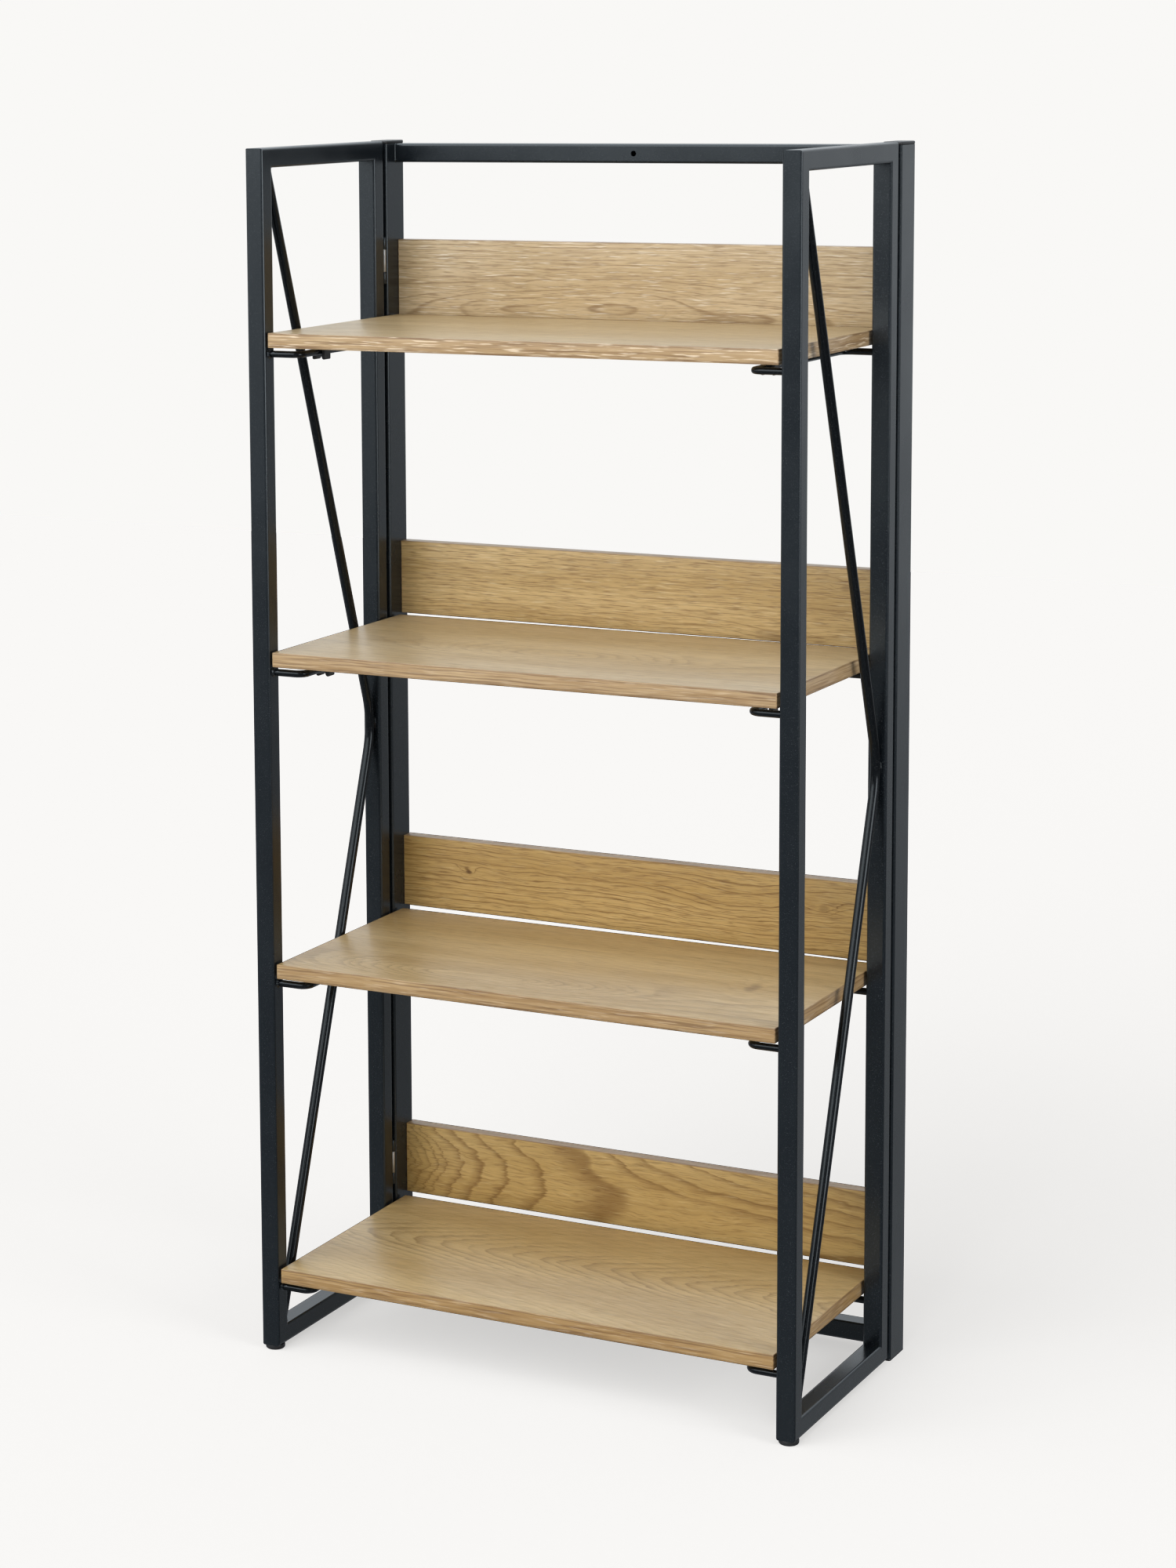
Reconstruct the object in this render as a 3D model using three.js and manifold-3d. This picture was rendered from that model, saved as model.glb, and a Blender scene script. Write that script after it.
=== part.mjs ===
// Folding bookcase. A welded back frame carries four oak strips, two side frames
// hang on it by barrel hinges, and four oak shelves turn on pins in its posts.
// Each shelf lies on a bent rod at either end and holds it with a snap clip.
// Millimetres, +Z up, front towards -Y, origin on the floor in the middle.
import * as THREE from 'three';
import Module from 'manifold-3d';
import { mergeVertices } from 'three/addons/utils/BufferGeometryUtils.js';

const wasm = await Module();
wasm.setup();

// Whole bookcase
const overallWidth = 600;
const sideFrameDepth = 258;
const sideFrameHeight = 1255;
const hingeGap = 7;
const glideHeight = 5;

// Square and rectangular tube
const tubeWidth = 20;
const backPostDepth = 40;
const tubeWall = 1.5;
const tubeCornerRadius = 2.5;
const innerCornerShare = 0.4;

// Back frame
const backPostDrop = 3;
const plugFlange = 2;
const capFlange = 3.5;
const flangeCornerRadius = 1.2;
const plugClearance = 0.3;
const plugDepth = 12;
const backBottomRailHeight = 8;
const wallHoleDiameter = 6;

// Boards
const boardThickness = 15;
const boardEdgeRadius = 0.8;
const shelfCount = 4;
const bottomShelfHeight = 90;
const topShelfDrop = 183;
const shelfEndGap = 3;
const shelfFrontSetback = 1;
const shelfRearReach = 15;
const stripHeight = 80;

// Shelf pivots
const pivotFromRearEdge = 6.5;
const pivotAboveUnderside = 5;
const pinDiameter = 6;
const pinRunningGap = 0.12;
const pinDepthInBoard = 24;
const pinPastPostWall = 4;

// Bent rods
const braceDiameter = 10;
const braceBendRadius = 90;
const braceCornerInset = 4;
const supportRodDiameter = 7;
const supportRodReach = 34;
const supportRodBendRadius = 10;
const seatGap = 0.3;

// Snap clips
const clipPlateWidth = 26;
const clipPlateThickness = 3;
const clipLength = 12;
const clipFromFront = 57;
const clipSideClearance = 0.4;
const prongThickness = 3.6;
const prongBelowRod = 4.5;
const lipInset = 0.7;
const lipRise = 1.6;
const tipFlare = 0.9;

// Barrel hinges
const hingeHeight = 50;
const centreKnuckleHeight = 24;
const knuckleGap = 0.3;
const barrelDiameter = 6.5;
const hingePinDiameter = 3.2;
const barrelOutset = 0.6;
const leafThickness = 1.5;
const leafWidth = 16;
const hingeFromEnd = 127.5;

// Front glides
const glideDiameter = 20;
const glideEdge = 1;

// Facet counts
const cornerSteps = 4;
const rodSides = 14;
const bendSteps = 6;
const braceBendSteps = 10;
const holeSides = 32;
const barrelSides = 24;
const latheSides = 32;

const powderCoat = new THREE.MeshStandardMaterial({ name: 'powder_coat', color: 0x3a3d40, roughness: 0.45, metalness: 0.35 });
const oak = new THREE.MeshStandardMaterial({ name: 'oak_board', color: 0xcfae82, roughness: 0.6, metalness: 0 });
const zinc = new THREE.MeshStandardMaterial({ name: 'zinc_steel', color: 0xb9bcbf, roughness: 0.35, metalness: 0.9 });
const blackPlastic = new THREE.MeshStandardMaterial({ name: 'black_plastic', color: 0x1c1d1e, roughness: 0.55, metalness: 0 });

// Derived places
const overallDepth = sideFrameDepth + hingeGap + backPostDepth;
const frontFace = -overallDepth / 2;
const backPostFront = frontFace + sideFrameDepth + hingeGap;
const backFace = overallDepth / 2;
const clearWidth = overallWidth - 2 * tubeWidth;
const backPostTop = glideHeight + sideFrameHeight - backPostDrop;
const shelfPitch = (backPostTop - topShelfDrop - bottomShelfHeight) / (shelfCount - 1);
const sides = [['left', -1], ['right', 1]];

function roundedOutline(width, height, radius) {
  const points = [];
  const corners = [[1, -1], [1, 1], [-1, 1], [-1, -1]];
  corners.forEach(([sx, sy], corner) => {
    for (let step = 0; step <= cornerSteps; step++) {
      const angle = (corner - 1 + step / cornerSteps) * Math.PI / 2;
      points.push(new THREE.Vector2(
        sx * (width / 2 - radius) + radius * Math.cos(angle),
        sy * (height / 2 - radius) + radius * Math.sin(angle),
      ));
    }
  });
  return points;
}

// A tube stands on the local origin, width along X, depth along Y, length along Z.
function tubeGeometry(width, depth, length) {
  const section = new THREE.Shape(roundedOutline(width, depth, tubeCornerRadius));
  const innerRadius = Math.max(tubeCornerRadius - tubeWall, tubeCornerRadius * innerCornerShare);
  section.holes.push(new THREE.Path(roundedOutline(width - 2 * tubeWall, depth - 2 * tubeWall, innerRadius)));
  return new THREE.ExtrudeGeometry(section, { depth: length, bevelEnabled: false });
}

// A board's section is depth by thickness, and its length runs along X from the middle.
function boardGeometry(depth, thickness, length) {
  const section = new THREE.Shape(roundedOutline(thickness, depth, boardEdgeRadius));
  const geometry = new THREE.ExtrudeGeometry(section, { depth: length, bevelEnabled: false });
  geometry.translate(0, 0, -length / 2);
  return geometry.rotateY(Math.PI / 2);
}

function blockGeometry(width, depth, height, cornerRadius) {
  const section = new THREE.Shape(roundedOutline(width, depth, cornerRadius));
  return new THREE.ExtrudeGeometry(section, { depth: height, bevelEnabled: false });
}

function solidOf(geometry) {
  const bare = geometry.clone();
  bare.deleteAttribute('normal');
  bare.deleteAttribute('uv');
  const merged = mergeVertices(bare);
  return new wasm.Manifold(new wasm.Mesh({
    numProp: 3,
    vertProperties: new Float32Array(merged.attributes.position.array),
    triVerts: new Uint32Array(merged.index.array),
  }));
}

function geometryOf(solid) {
  const mesh = solid.getMesh();
  const indexed = new THREE.BufferGeometry();
  indexed.setAttribute('position', new THREE.BufferAttribute(mesh.vertProperties, mesh.numProp));
  indexed.setIndex(new THREE.BufferAttribute(mesh.triVerts, 1));
  const faceted = indexed.toNonIndexed();
  faceted.computeVertexNormals();
  return faceted;
}

function cylinderAlong(axis, diameter, length, sideCount) {
  const geometry = new THREE.CylinderGeometry(diameter / 2, diameter / 2, length, sideCount);
  if (axis === 'x') geometry.rotateZ(Math.PI / 2);
  if (axis === 'z') geometry.rotateX(Math.PI / 2);
  return geometry;
}

// A path whose stations are used as they are, so a bend gets more of them than a straight.
class RodPath extends THREE.Curve {
  constructor(stations) {
    super();
    this.stations = stations;
  }

  getPointAt(u, target = new THREE.Vector3()) {
    return target.copy(this.stations[Math.round(u * (this.stations.length - 1))]);
  }

  getTangentAt(u, target = new THREE.Vector3()) {
    const last = this.stations.length - 1;
    const here = Math.round(u * last);
    target.set(0, 0, 0);
    for (const start of [here - 1, here]) {
      if (start < 0 || start >= last) continue;
      const leg = new THREE.Vector3().subVectors(this.stations[start + 1], this.stations[start]);
      target.add(leg.normalize());
    }
    return target.normalize();
  }
}

function rodGeometry(stations, diameter) {
  const section = new THREE.Shape();
  for (let side = 0; side < rodSides; side++) {
    const angle = side / rodSides * 2 * Math.PI;
    const x = diameter / 2 * Math.cos(angle);
    const y = diameter / 2 * Math.sin(angle);
    if (side === 0) section.moveTo(x, y);
    else section.lineTo(x, y);
  }
  return new THREE.ExtrudeGeometry(section, {
    steps: stations.length - 1,
    extrudePath: new RodPath(stations),
    bevelEnabled: false,
  });
}

// Stations round a bend from one direction to another, both unit vectors, about its centre.
function bendStations(centre, from, to, radius, stepCount) {
  const stations = [];
  const sweep = from.angleTo(to);
  for (let step = 0; step <= stepCount; step++) {
    const part = step / stepCount;
    const a = Math.sin((1 - part) * sweep) / Math.sin(sweep);
    const b = Math.sin(part * sweep) / Math.sin(sweep);
    stations.push(centre.clone().addScaledVector(from, a * radius).addScaledVector(to, b * radius));
  }
  return stations;
}

function meshOf(name, geometry, material, x, y, z) {
  const mesh = new THREE.Mesh(geometry, material);
  mesh.name = name;
  mesh.position.set(x, y, z);
  return mesh;
}

function shelfTop(number) {
  return bottomShelfHeight + (shelfCount - number) * shelfPitch;
}

const pivotY = backPostFront + shelfRearReach - pivotFromRearEdge;

function backPost(name, side) {
  const bottom = plugFlange;
  let post = solidOf(tubeGeometry(tubeWidth, backPostDepth, backPostTop - bottom));
  const bore = solidOf(cylinderAlong('x', pinDiameter + 2 * pinRunningGap, tubeWidth, holeSides));
  for (let number = 1; number <= shelfCount; number++) {
    const pivotZ = shelfTop(number) - boardThickness + pivotAboveUnderside;
    post = post.subtract(bore.translate([
      -side * tubeWidth / 2,
      pivotY - (backPostFront + backFace) / 2,
      pivotZ - bottom,
    ]));
  }
  return meshOf(name, geometryOf(post), powderCoat,
    side * (overallWidth - tubeWidth) / 2, (backPostFront + backFace) / 2, bottom);
}

function backRail(name, bottom, withWallHole) {
  let rail = solidOf(tubeGeometry(tubeWidth, tubeWidth, clearWidth));
  if (withWallHole) {
    const drill = solidOf(cylinderAlong('y', wallHoleDiameter, 2 * tubeWidth, holeSides));
    rail = rail.subtract(drill.translate([0, 0, clearWidth / 2]));
  }
  const mesh = meshOf(name, geometryOf(rail), powderCoat,
    -clearWidth / 2, backFace - tubeWidth / 2, bottom + tubeWidth / 2);
  mesh.rotation.y = Math.PI / 2;
  return mesh;
}

// A flange as wide as the post, with a neck that fills the post's open end.
function postEnd(name, side, seat, flangeHeight, upward) {
  const flange = solidOf(blockGeometry(tubeWidth, backPostDepth, flangeHeight, flangeCornerRadius));
  const inset = 2 * (tubeWall + plugClearance);
  const neck = solidOf(blockGeometry(tubeWidth - inset, backPostDepth - inset, plugDepth + flangeHeight, flangeCornerRadius));
  const end = flange.add(neck.translate([0, 0, -plugDepth]));
  const mesh = meshOf(name, geometryOf(end), blackPlastic,
    side * (overallWidth - tubeWidth) / 2, (backPostFront + backFace) / 2, seat);
  if (!upward) mesh.rotation.x = Math.PI;
  return mesh;
}

function backFrame() {
  const group = new THREE.Group();
  for (const [label, side] of sides) {
    group.add(backPost(`back_post_${label}`, side));
    group.add(postEnd(`post_cap_${label}`, side, backPostTop, capFlange, true));
    group.add(postEnd(`post_plug_${label}`, side, plugFlange, plugFlange, false));
  }
  group.add(backRail('back_top_rail', backPostTop - tubeWidth, true));
  group.add(backRail('back_bottom_rail', backBottomRailHeight, false));
  for (let number = 1; number <= shelfCount; number++) {
    group.add(meshOf(`back_strip_${number}`, boardGeometry(boardThickness, stripHeight, clearWidth), oak,
      0, backFace - boardThickness / 2, shelfTop(number) + stripHeight / 2));
  }
  return group;
}

// A frame tube with both ends cut at 45 degrees, its outer face towards local -Y.
function mitredTube(length) {
  const tube = solidOf(tubeGeometry(tubeWidth, tubeWidth, length));
  const half = tubeWidth / 2;
  return geometryOf(tube
    .trimByPlane([0, -1, 1], half / Math.SQRT2)
    .trimByPlane([0, -1, -1], (half - length) / Math.SQRT2));
}

// The brace runs from the lower front corner to the rear post and back to the upper front corner.
function braceGeometry() {
  const middle = sideFrameHeight / 2;
  const end = new THREE.Vector2(tubeWidth + braceCornerInset, tubeWidth);
  const centreY = sideFrameDepth - tubeWidth - seatGap - braceDiameter / 2 - braceBendRadius;
  const dy = centreY - end.x;
  const dz = middle - end.y;
  const lean = Math.atan2(dy, dz) + Math.asin(braceBendRadius / Math.hypot(dy, dz));
  const down = new THREE.Vector3(0, Math.cos(lean), -Math.sin(lean));
  const up = new THREE.Vector3(0, Math.cos(lean), Math.sin(lean));
  const bend = bendStations(new THREE.Vector3(0, centreY, middle), down, up, braceBendRadius, braceBendSteps);
  const pastY = end.x - tubeWidth * Math.sin(lean);
  const pastZ = end.y - tubeWidth * Math.cos(lean);
  const stations = [
    new THREE.Vector3(0, pastY, pastZ),
    ...bend,
    new THREE.Vector3(0, pastY, sideFrameHeight - pastZ),
  ];
  return geometryOf(solidOf(rodGeometry(stations, braceDiameter))
    .trimByPlane([0, 1, 0], tubeWidth)
    .trimByPlane([0, 0, 1], tubeWidth)
    .trimByPlane([0, 0, -1], tubeWidth - sideFrameHeight));
}

// The rod leaves the front post, turns back under the shelf and turns out to the rear post.
function supportRodGeometry(inward) {
  const near = tubeWidth / 2;
  const far = sideFrameDepth - tubeWidth / 2;
  const start = inward * tubeWidth / 2;
  const run = start + inward * supportRodReach;
  const x = new THREE.Vector3(inward, 0, 0);
  const y = new THREE.Vector3(0, 1, 0);
  const bendX = run - inward * supportRodBendRadius;
  return rodGeometry([
    new THREE.Vector3(start, near, 0),
    ...bendStations(new THREE.Vector3(bendX, near + supportRodBendRadius, 0),
      y.clone().negate(), x, supportRodBendRadius, bendSteps),
    ...bendStations(new THREE.Vector3(bendX, far - supportRodBendRadius, 0),
      x, y, supportRodBendRadius, bendSteps),
    new THREE.Vector3(start, far, 0),
  ], supportRodDiameter);
}

function glideGeometry() {
  const radius = glideDiameter / 2;
  const profile = [
    new THREE.Vector2(0, 0),
    new THREE.Vector2(radius - glideEdge, 0),
    new THREE.Vector2(radius, glideEdge),
    new THREE.Vector2(radius, glideHeight - glideEdge),
    new THREE.Vector2(radius - glideEdge, glideHeight),
    new THREE.Vector2(0, glideHeight),
  ];
  return new THREE.LatheGeometry(profile, latheSides).rotateX(Math.PI / 2);
}

function supportRodHeight(number) {
  return shelfTop(number) - boardThickness - clipPlateThickness - seatGap - supportRodDiameter / 2;
}

// The group stands under the middle of the tubes, at the front face and the frame's underside.
function sideFrame(label, side) {
  const group = new THREE.Group();
  group.position.set(side * (overallWidth - tubeWidth) / 2, frontFace, glideHeight);
  const half = tubeWidth / 2;
  const bars = [
    ['front_post', sideFrameHeight, [0, half, 0], [0, 0, 0]],
    ['rear_post', sideFrameHeight, [0, sideFrameDepth - half, 0], [0, 0, Math.PI]],
    ['bottom_rail', sideFrameDepth, [0, sideFrameDepth, half], [Math.PI / 2, 0, 0]],
    ['top_rail', sideFrameDepth, [0, 0, sideFrameHeight - half], [-Math.PI / 2, 0, 0]],
  ];
  for (const [part, length, place, turn] of bars) {
    const bar = meshOf(`${label}_${part}`, mitredTube(length), powderCoat, ...place);
    bar.rotation.set(...turn);
    group.add(bar);
  }
  group.add(meshOf(`${label}_brace`, braceGeometry(), powderCoat, 0, 0, 0));
  for (let number = 1; number <= shelfCount; number++) {
    group.add(meshOf(`${label}_support_rod_${number}`, supportRodGeometry(-side), powderCoat,
      0, 0, supportRodHeight(number) - glideHeight));
  }
  const glide = meshOf(`${label}_glide`, glideGeometry(), blackPlastic, 0, glideDiameter / 2, -glideHeight);
  group.add(glide);
  return group;
}

// Both leaves lie in the gap between the posts; outward is the way from the barrel to their far edges.
function hingeLeaf(outward, faceY, towardsPost, knuckles, boreDiameter) {
  const plateY = faceY - towardsPost * leafThickness / 2;
  let leaf = solidOf(new THREE.BoxGeometry(leafWidth, leafThickness, hingeHeight))
    .translate([outward * leafWidth / 2, plateY, 0]);
  const room = barrelDiameter + 2 * knuckleGap;
  const edges = [-hingeHeight / 2, -centreKnuckleHeight / 2, centreKnuckleHeight / 2, hingeHeight / 2];
  for (let index = 0; index < edges.length - 1; index++) {
    const height = edges[index + 1] - edges[index];
    const middle = (edges[index + 1] + edges[index]) / 2;
    if (knuckles.includes(index)) {
      const knuckle = solidOf(cylinderAlong('z', barrelDiameter, height, barrelSides));
      leaf = leaf.add(knuckle.translate([0, 0, middle]));
    } else {
      const cut = solidOf(new THREE.BoxGeometry(room, room, height + 2 * knuckleGap));
      leaf = leaf.subtract(cut.translate([0, 0, middle]));
    }
  }
  if (boreDiameter > 0) {
    return leaf.subtract(solidOf(cylinderAlong('z', boreDiameter, 2 * hingeHeight, barrelSides)));
  }
  return leaf.add(solidOf(cylinderAlong('z', hingePinDiameter, hingeHeight, barrelSides)));
}

function hinge(label, level, side, height) {
  const group = new THREE.Group();
  const axisY = backPostFront - hingeGap / 2;
  group.position.set(side * (clearWidth / 2 + barrelOutset), axisY, height);
  const fixedLeaf = hingeLeaf(side, hingeGap / 2, 1, [0, 2], 0);
  const movingLeaf = hingeLeaf(side, -hingeGap / 2, -1, [1], hingePinDiameter + 2 * knuckleGap);
  group.add(meshOf(`${label}_${level}_hinge_fixed_leaf`, geometryOf(fixedLeaf), powderCoat, 0, 0, 0));
  group.add(meshOf(`${label}_${level}_hinge_moving_leaf`, geometryOf(movingLeaf), zinc, 0, 0, 0));
  return group;
}

// The clip's section, from its plate under the shelf down to the tips of its two prongs.
function clipGeometry() {
  const slot = supportRodDiameter / 2 + clipSideClearance;
  const rodBottom = clipPlateThickness + seatGap + supportRodDiameter;
  const tip = rodBottom + prongBelowRod;
  const lip = supportRodDiameter / 2 - lipInset;
  const half = [
    [clipPlateWidth / 2, 0],
    [clipPlateWidth / 2, -clipPlateThickness],
    [slot + prongThickness, -clipPlateThickness],
    [slot + prongThickness, -tip + tipFlare],
    [slot + prongThickness - tipFlare, -tip],
    [lip + tipFlare + lipRise, -tip],
    [lip, -rodBottom - tipFlare],
    [lip, -rodBottom + tipFlare / 2],
    [slot, -rodBottom + tipFlare / 2 + lipRise],
    [slot, -clipPlateThickness],
  ];
  const section = new THREE.Shape();
  half.forEach(([x, z], index) => (index === 0 ? section.moveTo(x, z) : section.lineTo(x, z)));
  half.toReversed().forEach(([x, z]) => section.lineTo(-x, z));
  const geometry = new THREE.ExtrudeGeometry(section, { depth: clipLength, bevelEnabled: false });
  geometry.translate(0, 0, -clipLength / 2);
  return geometry.rotateX(Math.PI / 2);
}

// The group stands on the shelf's pivot line, so turning the group lifts the shelf.
function shelf(number) {
  const group = new THREE.Group();
  const pivotZ = shelfTop(number) - boardThickness + pivotAboveUnderside;
  group.position.set(0, pivotY, pivotZ);
  const length = clearWidth - 2 * shelfEndGap;
  const front = frontFace + shelfFrontSetback;
  const rear = backPostFront + shelfRearReach;
  const centreY = (front + rear) / 2 - pivotY;
  const centreZ = boardThickness / 2 - pivotAboveUnderside;
  let board = solidOf(boardGeometry(rear - front, boardThickness, length));
  const bore = solidOf(cylinderAlong('x', pinDiameter + 2 * pinRunningGap, 2 * pinDepthInBoard, holeSides));
  for (const [, side] of sides) {
    board = board.subtract(bore.translate([side * length / 2, -centreY, -centreZ]));
  }
  group.add(meshOf(`shelf_${number}_board`, geometryOf(board), oak, 0, centreY, centreZ));
  const pinInner = length / 2 - pinDepthInBoard + seatGap;
  const pinOuter = clearWidth / 2 + tubeWall + pinPastPostWall;
  const runX = clearWidth / 2 - supportRodReach;
  for (const [label, side] of sides) {
    group.add(meshOf(`shelf_${number}_pin_${label}`,
      cylinderAlong('x', pinDiameter, pinOuter - pinInner, holeSides), zinc,
      side * (pinInner + pinOuter) / 2, 0, 0));
    group.add(meshOf(`shelf_${number}_clip_${label}`, clipGeometry(), blackPlastic,
      side * runX, frontFace + clipFromFront - pivotY, -pivotAboveUnderside));
  }
  return group;
}

const bookcase = new THREE.Group();
bookcase.add(backFrame());
for (const [label, side] of sides) {
  bookcase.add(sideFrame(label, side));
  bookcase.add(hinge(label, 'upper', side, glideHeight + sideFrameHeight - hingeFromEnd));
  bookcase.add(hinge(label, 'lower', side, glideHeight + hingeFromEnd));
}
for (let number = 1; number <= shelfCount; number++) bookcase.add(shelf(number));

export default bookcase;
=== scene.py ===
"""Folding bookcase with oak shelves on a powder-coated steel frame.

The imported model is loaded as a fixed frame. Square tubes and pivot pins keep
their own solids. Boards, rods, clips, hinges, caps and glides are made again as
finer surfaces in the same places, and weld beads are added where rods and rails
meet the posts. All lengths are in metres.
"""
import logging
import math
from dataclasses import dataclass, field
from enum import Enum
from typing import Callable, Union

import bpy
import numpy as np
from mathutils import Matrix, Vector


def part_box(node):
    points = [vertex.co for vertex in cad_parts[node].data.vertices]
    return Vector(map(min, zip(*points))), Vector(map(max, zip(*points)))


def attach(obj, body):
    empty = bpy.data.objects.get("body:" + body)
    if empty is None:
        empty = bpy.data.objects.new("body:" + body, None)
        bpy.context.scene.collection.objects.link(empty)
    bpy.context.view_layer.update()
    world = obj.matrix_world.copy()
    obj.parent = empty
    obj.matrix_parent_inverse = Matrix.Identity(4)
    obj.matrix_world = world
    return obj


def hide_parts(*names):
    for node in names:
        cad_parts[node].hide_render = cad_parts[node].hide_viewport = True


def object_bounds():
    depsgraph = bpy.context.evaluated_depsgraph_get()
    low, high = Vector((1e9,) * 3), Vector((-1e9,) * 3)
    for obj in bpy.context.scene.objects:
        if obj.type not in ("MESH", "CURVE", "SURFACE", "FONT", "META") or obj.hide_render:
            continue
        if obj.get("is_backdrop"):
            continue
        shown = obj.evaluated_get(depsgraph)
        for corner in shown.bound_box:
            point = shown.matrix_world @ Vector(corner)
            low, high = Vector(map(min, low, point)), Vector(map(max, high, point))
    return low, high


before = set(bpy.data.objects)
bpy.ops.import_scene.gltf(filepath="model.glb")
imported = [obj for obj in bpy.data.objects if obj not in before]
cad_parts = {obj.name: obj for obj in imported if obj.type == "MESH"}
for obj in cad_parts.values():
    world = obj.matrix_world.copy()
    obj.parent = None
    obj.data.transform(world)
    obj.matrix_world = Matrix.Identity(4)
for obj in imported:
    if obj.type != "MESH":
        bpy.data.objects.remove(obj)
solid_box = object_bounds()

Array = np.ndarray
Piece = bpy.types.Object
Material = bpy.types.Material
Tree = bpy.types.NodeTree
Node = bpy.types.Node
Socket = bpy.types.NodeSocket
Sockets = bpy.types.bpy_prop_collection
Value = Union[float, int, tuple, Socket]
log = logging.getLogger("bookcase")

SIDES = (("left", -1.0), ("right", 1.0))
SHELF_NUMBERS = (1, 2, 3, 4)
TURN = 2.0 * math.pi
ORIGIN = (0.0, 0.0, 0.0)
UNIT = (1.0, 1.0, 1.0)
UPWARD = (0.0, 0.0, 1.0)

NUMBER, VECTOR = "Float", "Vector"
KNOT_LETTERS = "ABC"
FIGURE_NUMBERS = (
    "slope", "bow", "count", "arms", "grow", "lean", "reach", "fade", "wave", "drift", "feather",
    "uneven", "start",
)
FIGURE_VECTORS = ("tip", "seed")


def srgb(red: float, green: float, blue: float) -> tuple[float, float, float, float]:
    """Turn a display colour of 0 to 255 into the linear colour of a shader.

    Args:
        red: Red, 0 to 255.
        green: Green, 0 to 255.
        blue: Blue, 0 to 255.

    Returns:
        Linear red, green, blue and an alpha of 1.
    """
    parts = np.array([red, green, blue], float) / 255.0
    low = parts / 12.92
    high = ((parts + 0.055) / 1.055) ** 2.4
    linear = np.where(parts <= 0.04045, low, high)
    return (*(float(part) for part in linear), 1.0)


def corners(node: str) -> tuple[Array, Array]:
    """Give the lowest and the highest corner of a CAD node at rest.

    Args:
        node: Name of the CAD node.

    Returns:
        Two arrays of three coordinates.
    """
    low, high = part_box(node)
    return np.array(low, float), np.array(high, float)


def stand(name: str, data: bpy.types.ID) -> Piece:
    """Put a new object that holds some data into the scene.

    Args:
        name: Name of the object.
        data: Its mesh, lamp or camera.

    Returns:
        The object, at the origin.
    """
    made = bpy.data.objects.new(name, data)
    bpy.context.scene.collection.objects.link(made)
    return made


class Slot(Enum):
    """The record's finishes, by the names that it gives them."""

    COAT = "powder_coat"
    OAK = "oak_board"
    ZINC = "zinc_steel"
    PLASTIC = "black_plastic"


# Meshes


@dataclass
class Skin:
    """A closed surface as arrays: points, quads with a finish each, and flat end faces."""

    points: Array
    quads: Array
    quad_slots: Array
    ends: list[Array] = field(default_factory=list)
    end_slot: int = 0


def joined(skins: list[Skin]) -> Skin:
    """Put several skins together.

    Args:
        skins: The skins, in the order that their faces take.

    Returns:
        One skin that holds all of them.
    """
    shifts = np.cumsum([0] + [len(skin.points) for skin in skins[:-1]])
    return Skin(
        np.vstack([skin.points for skin in skins]),
        np.vstack([skin.quads + shift for skin, shift in zip(skins, shifts)]),
        np.concatenate([skin.quad_slots for skin in skins]),
        [end + shift for skin, shift in zip(skins, shifts) for end in skin.ends],
        skins[0].end_slot,
    )


def outward(skin: Skin) -> Skin:
    """Turn a skin's faces so that they point out of the space that it closes.

    The volume of a closed skin is the sum of a . (b x c) / 6 over its triangles. Where
    that is negative, every face is reversed.

    Args:
        skin: A closed skin.

    Returns:
        The same skin, facing outwards.
    """
    p, q = skin.points, skin.quads
    first = np.einsum("ij,ij->i", p[q[:, 0]], np.cross(p[q[:, 1]], p[q[:, 2]]))
    second = np.einsum("ij,ij->i", p[q[:, 0]], np.cross(p[q[:, 2]], p[q[:, 3]]))
    volume = first.sum() + second.sum()
    for end in skin.ends:
        a, b, c = p[end[0]], p[end[1:-1]], p[end[2:]]
        volume += (np.cross(b, c) @ a).sum()
    if volume >= 0:
        return skin
    return Skin(p, q[:, ::-1], skin.quad_slots, [end[::-1] for end in skin.ends], skin.end_slot)


def grid_skin(
    points: Array, slots: Array | None = None, end_slot: int = 0, ring: bool = False
) -> Skin:
    """Close a grid of points into a skin that faces outwards.

    Point (i, j) is row i of the grid and place j round it. The quad (i, j) joins (i, j),
    (i, j + 1), (i + 1, j + 1) and (i + 1, j), with j taken modulo the number of places.
    The first and last rows get a flat end, or are joined to each other in a ring.

    Args:
        points: Array of rows x places x 3.
        slots: Finish number of each place round the grid, or None for 0 everywhere.
        end_slot: Finish number of the two flat ends.
        ring: True where the last row joins the first, as in a torus.

    Returns:
        The closed skin.
    """
    rows, places = points.shape[:2]
    spans = rows if ring else rows - 1
    i, j = np.meshgrid(np.arange(spans), np.arange(places), indexing="ij")
    here, after, beside = i * places, (i + 1) % rows * places, (j + 1) % places
    quads = np.stack([here + j, here + beside, after + beside, after + j], -1)
    kinds = np.zeros(places, int) if slots is None else np.asarray(slots)
    last = (rows - 1) * places
    ends = [] if ring else [np.arange(places)[::-1], last + np.arange(places)]
    flat, quads = points.reshape(-1, 3), quads.reshape(-1, 4)
    return outward(Skin(flat, quads, np.tile(kinds, spans), ends, end_slot))


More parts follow.
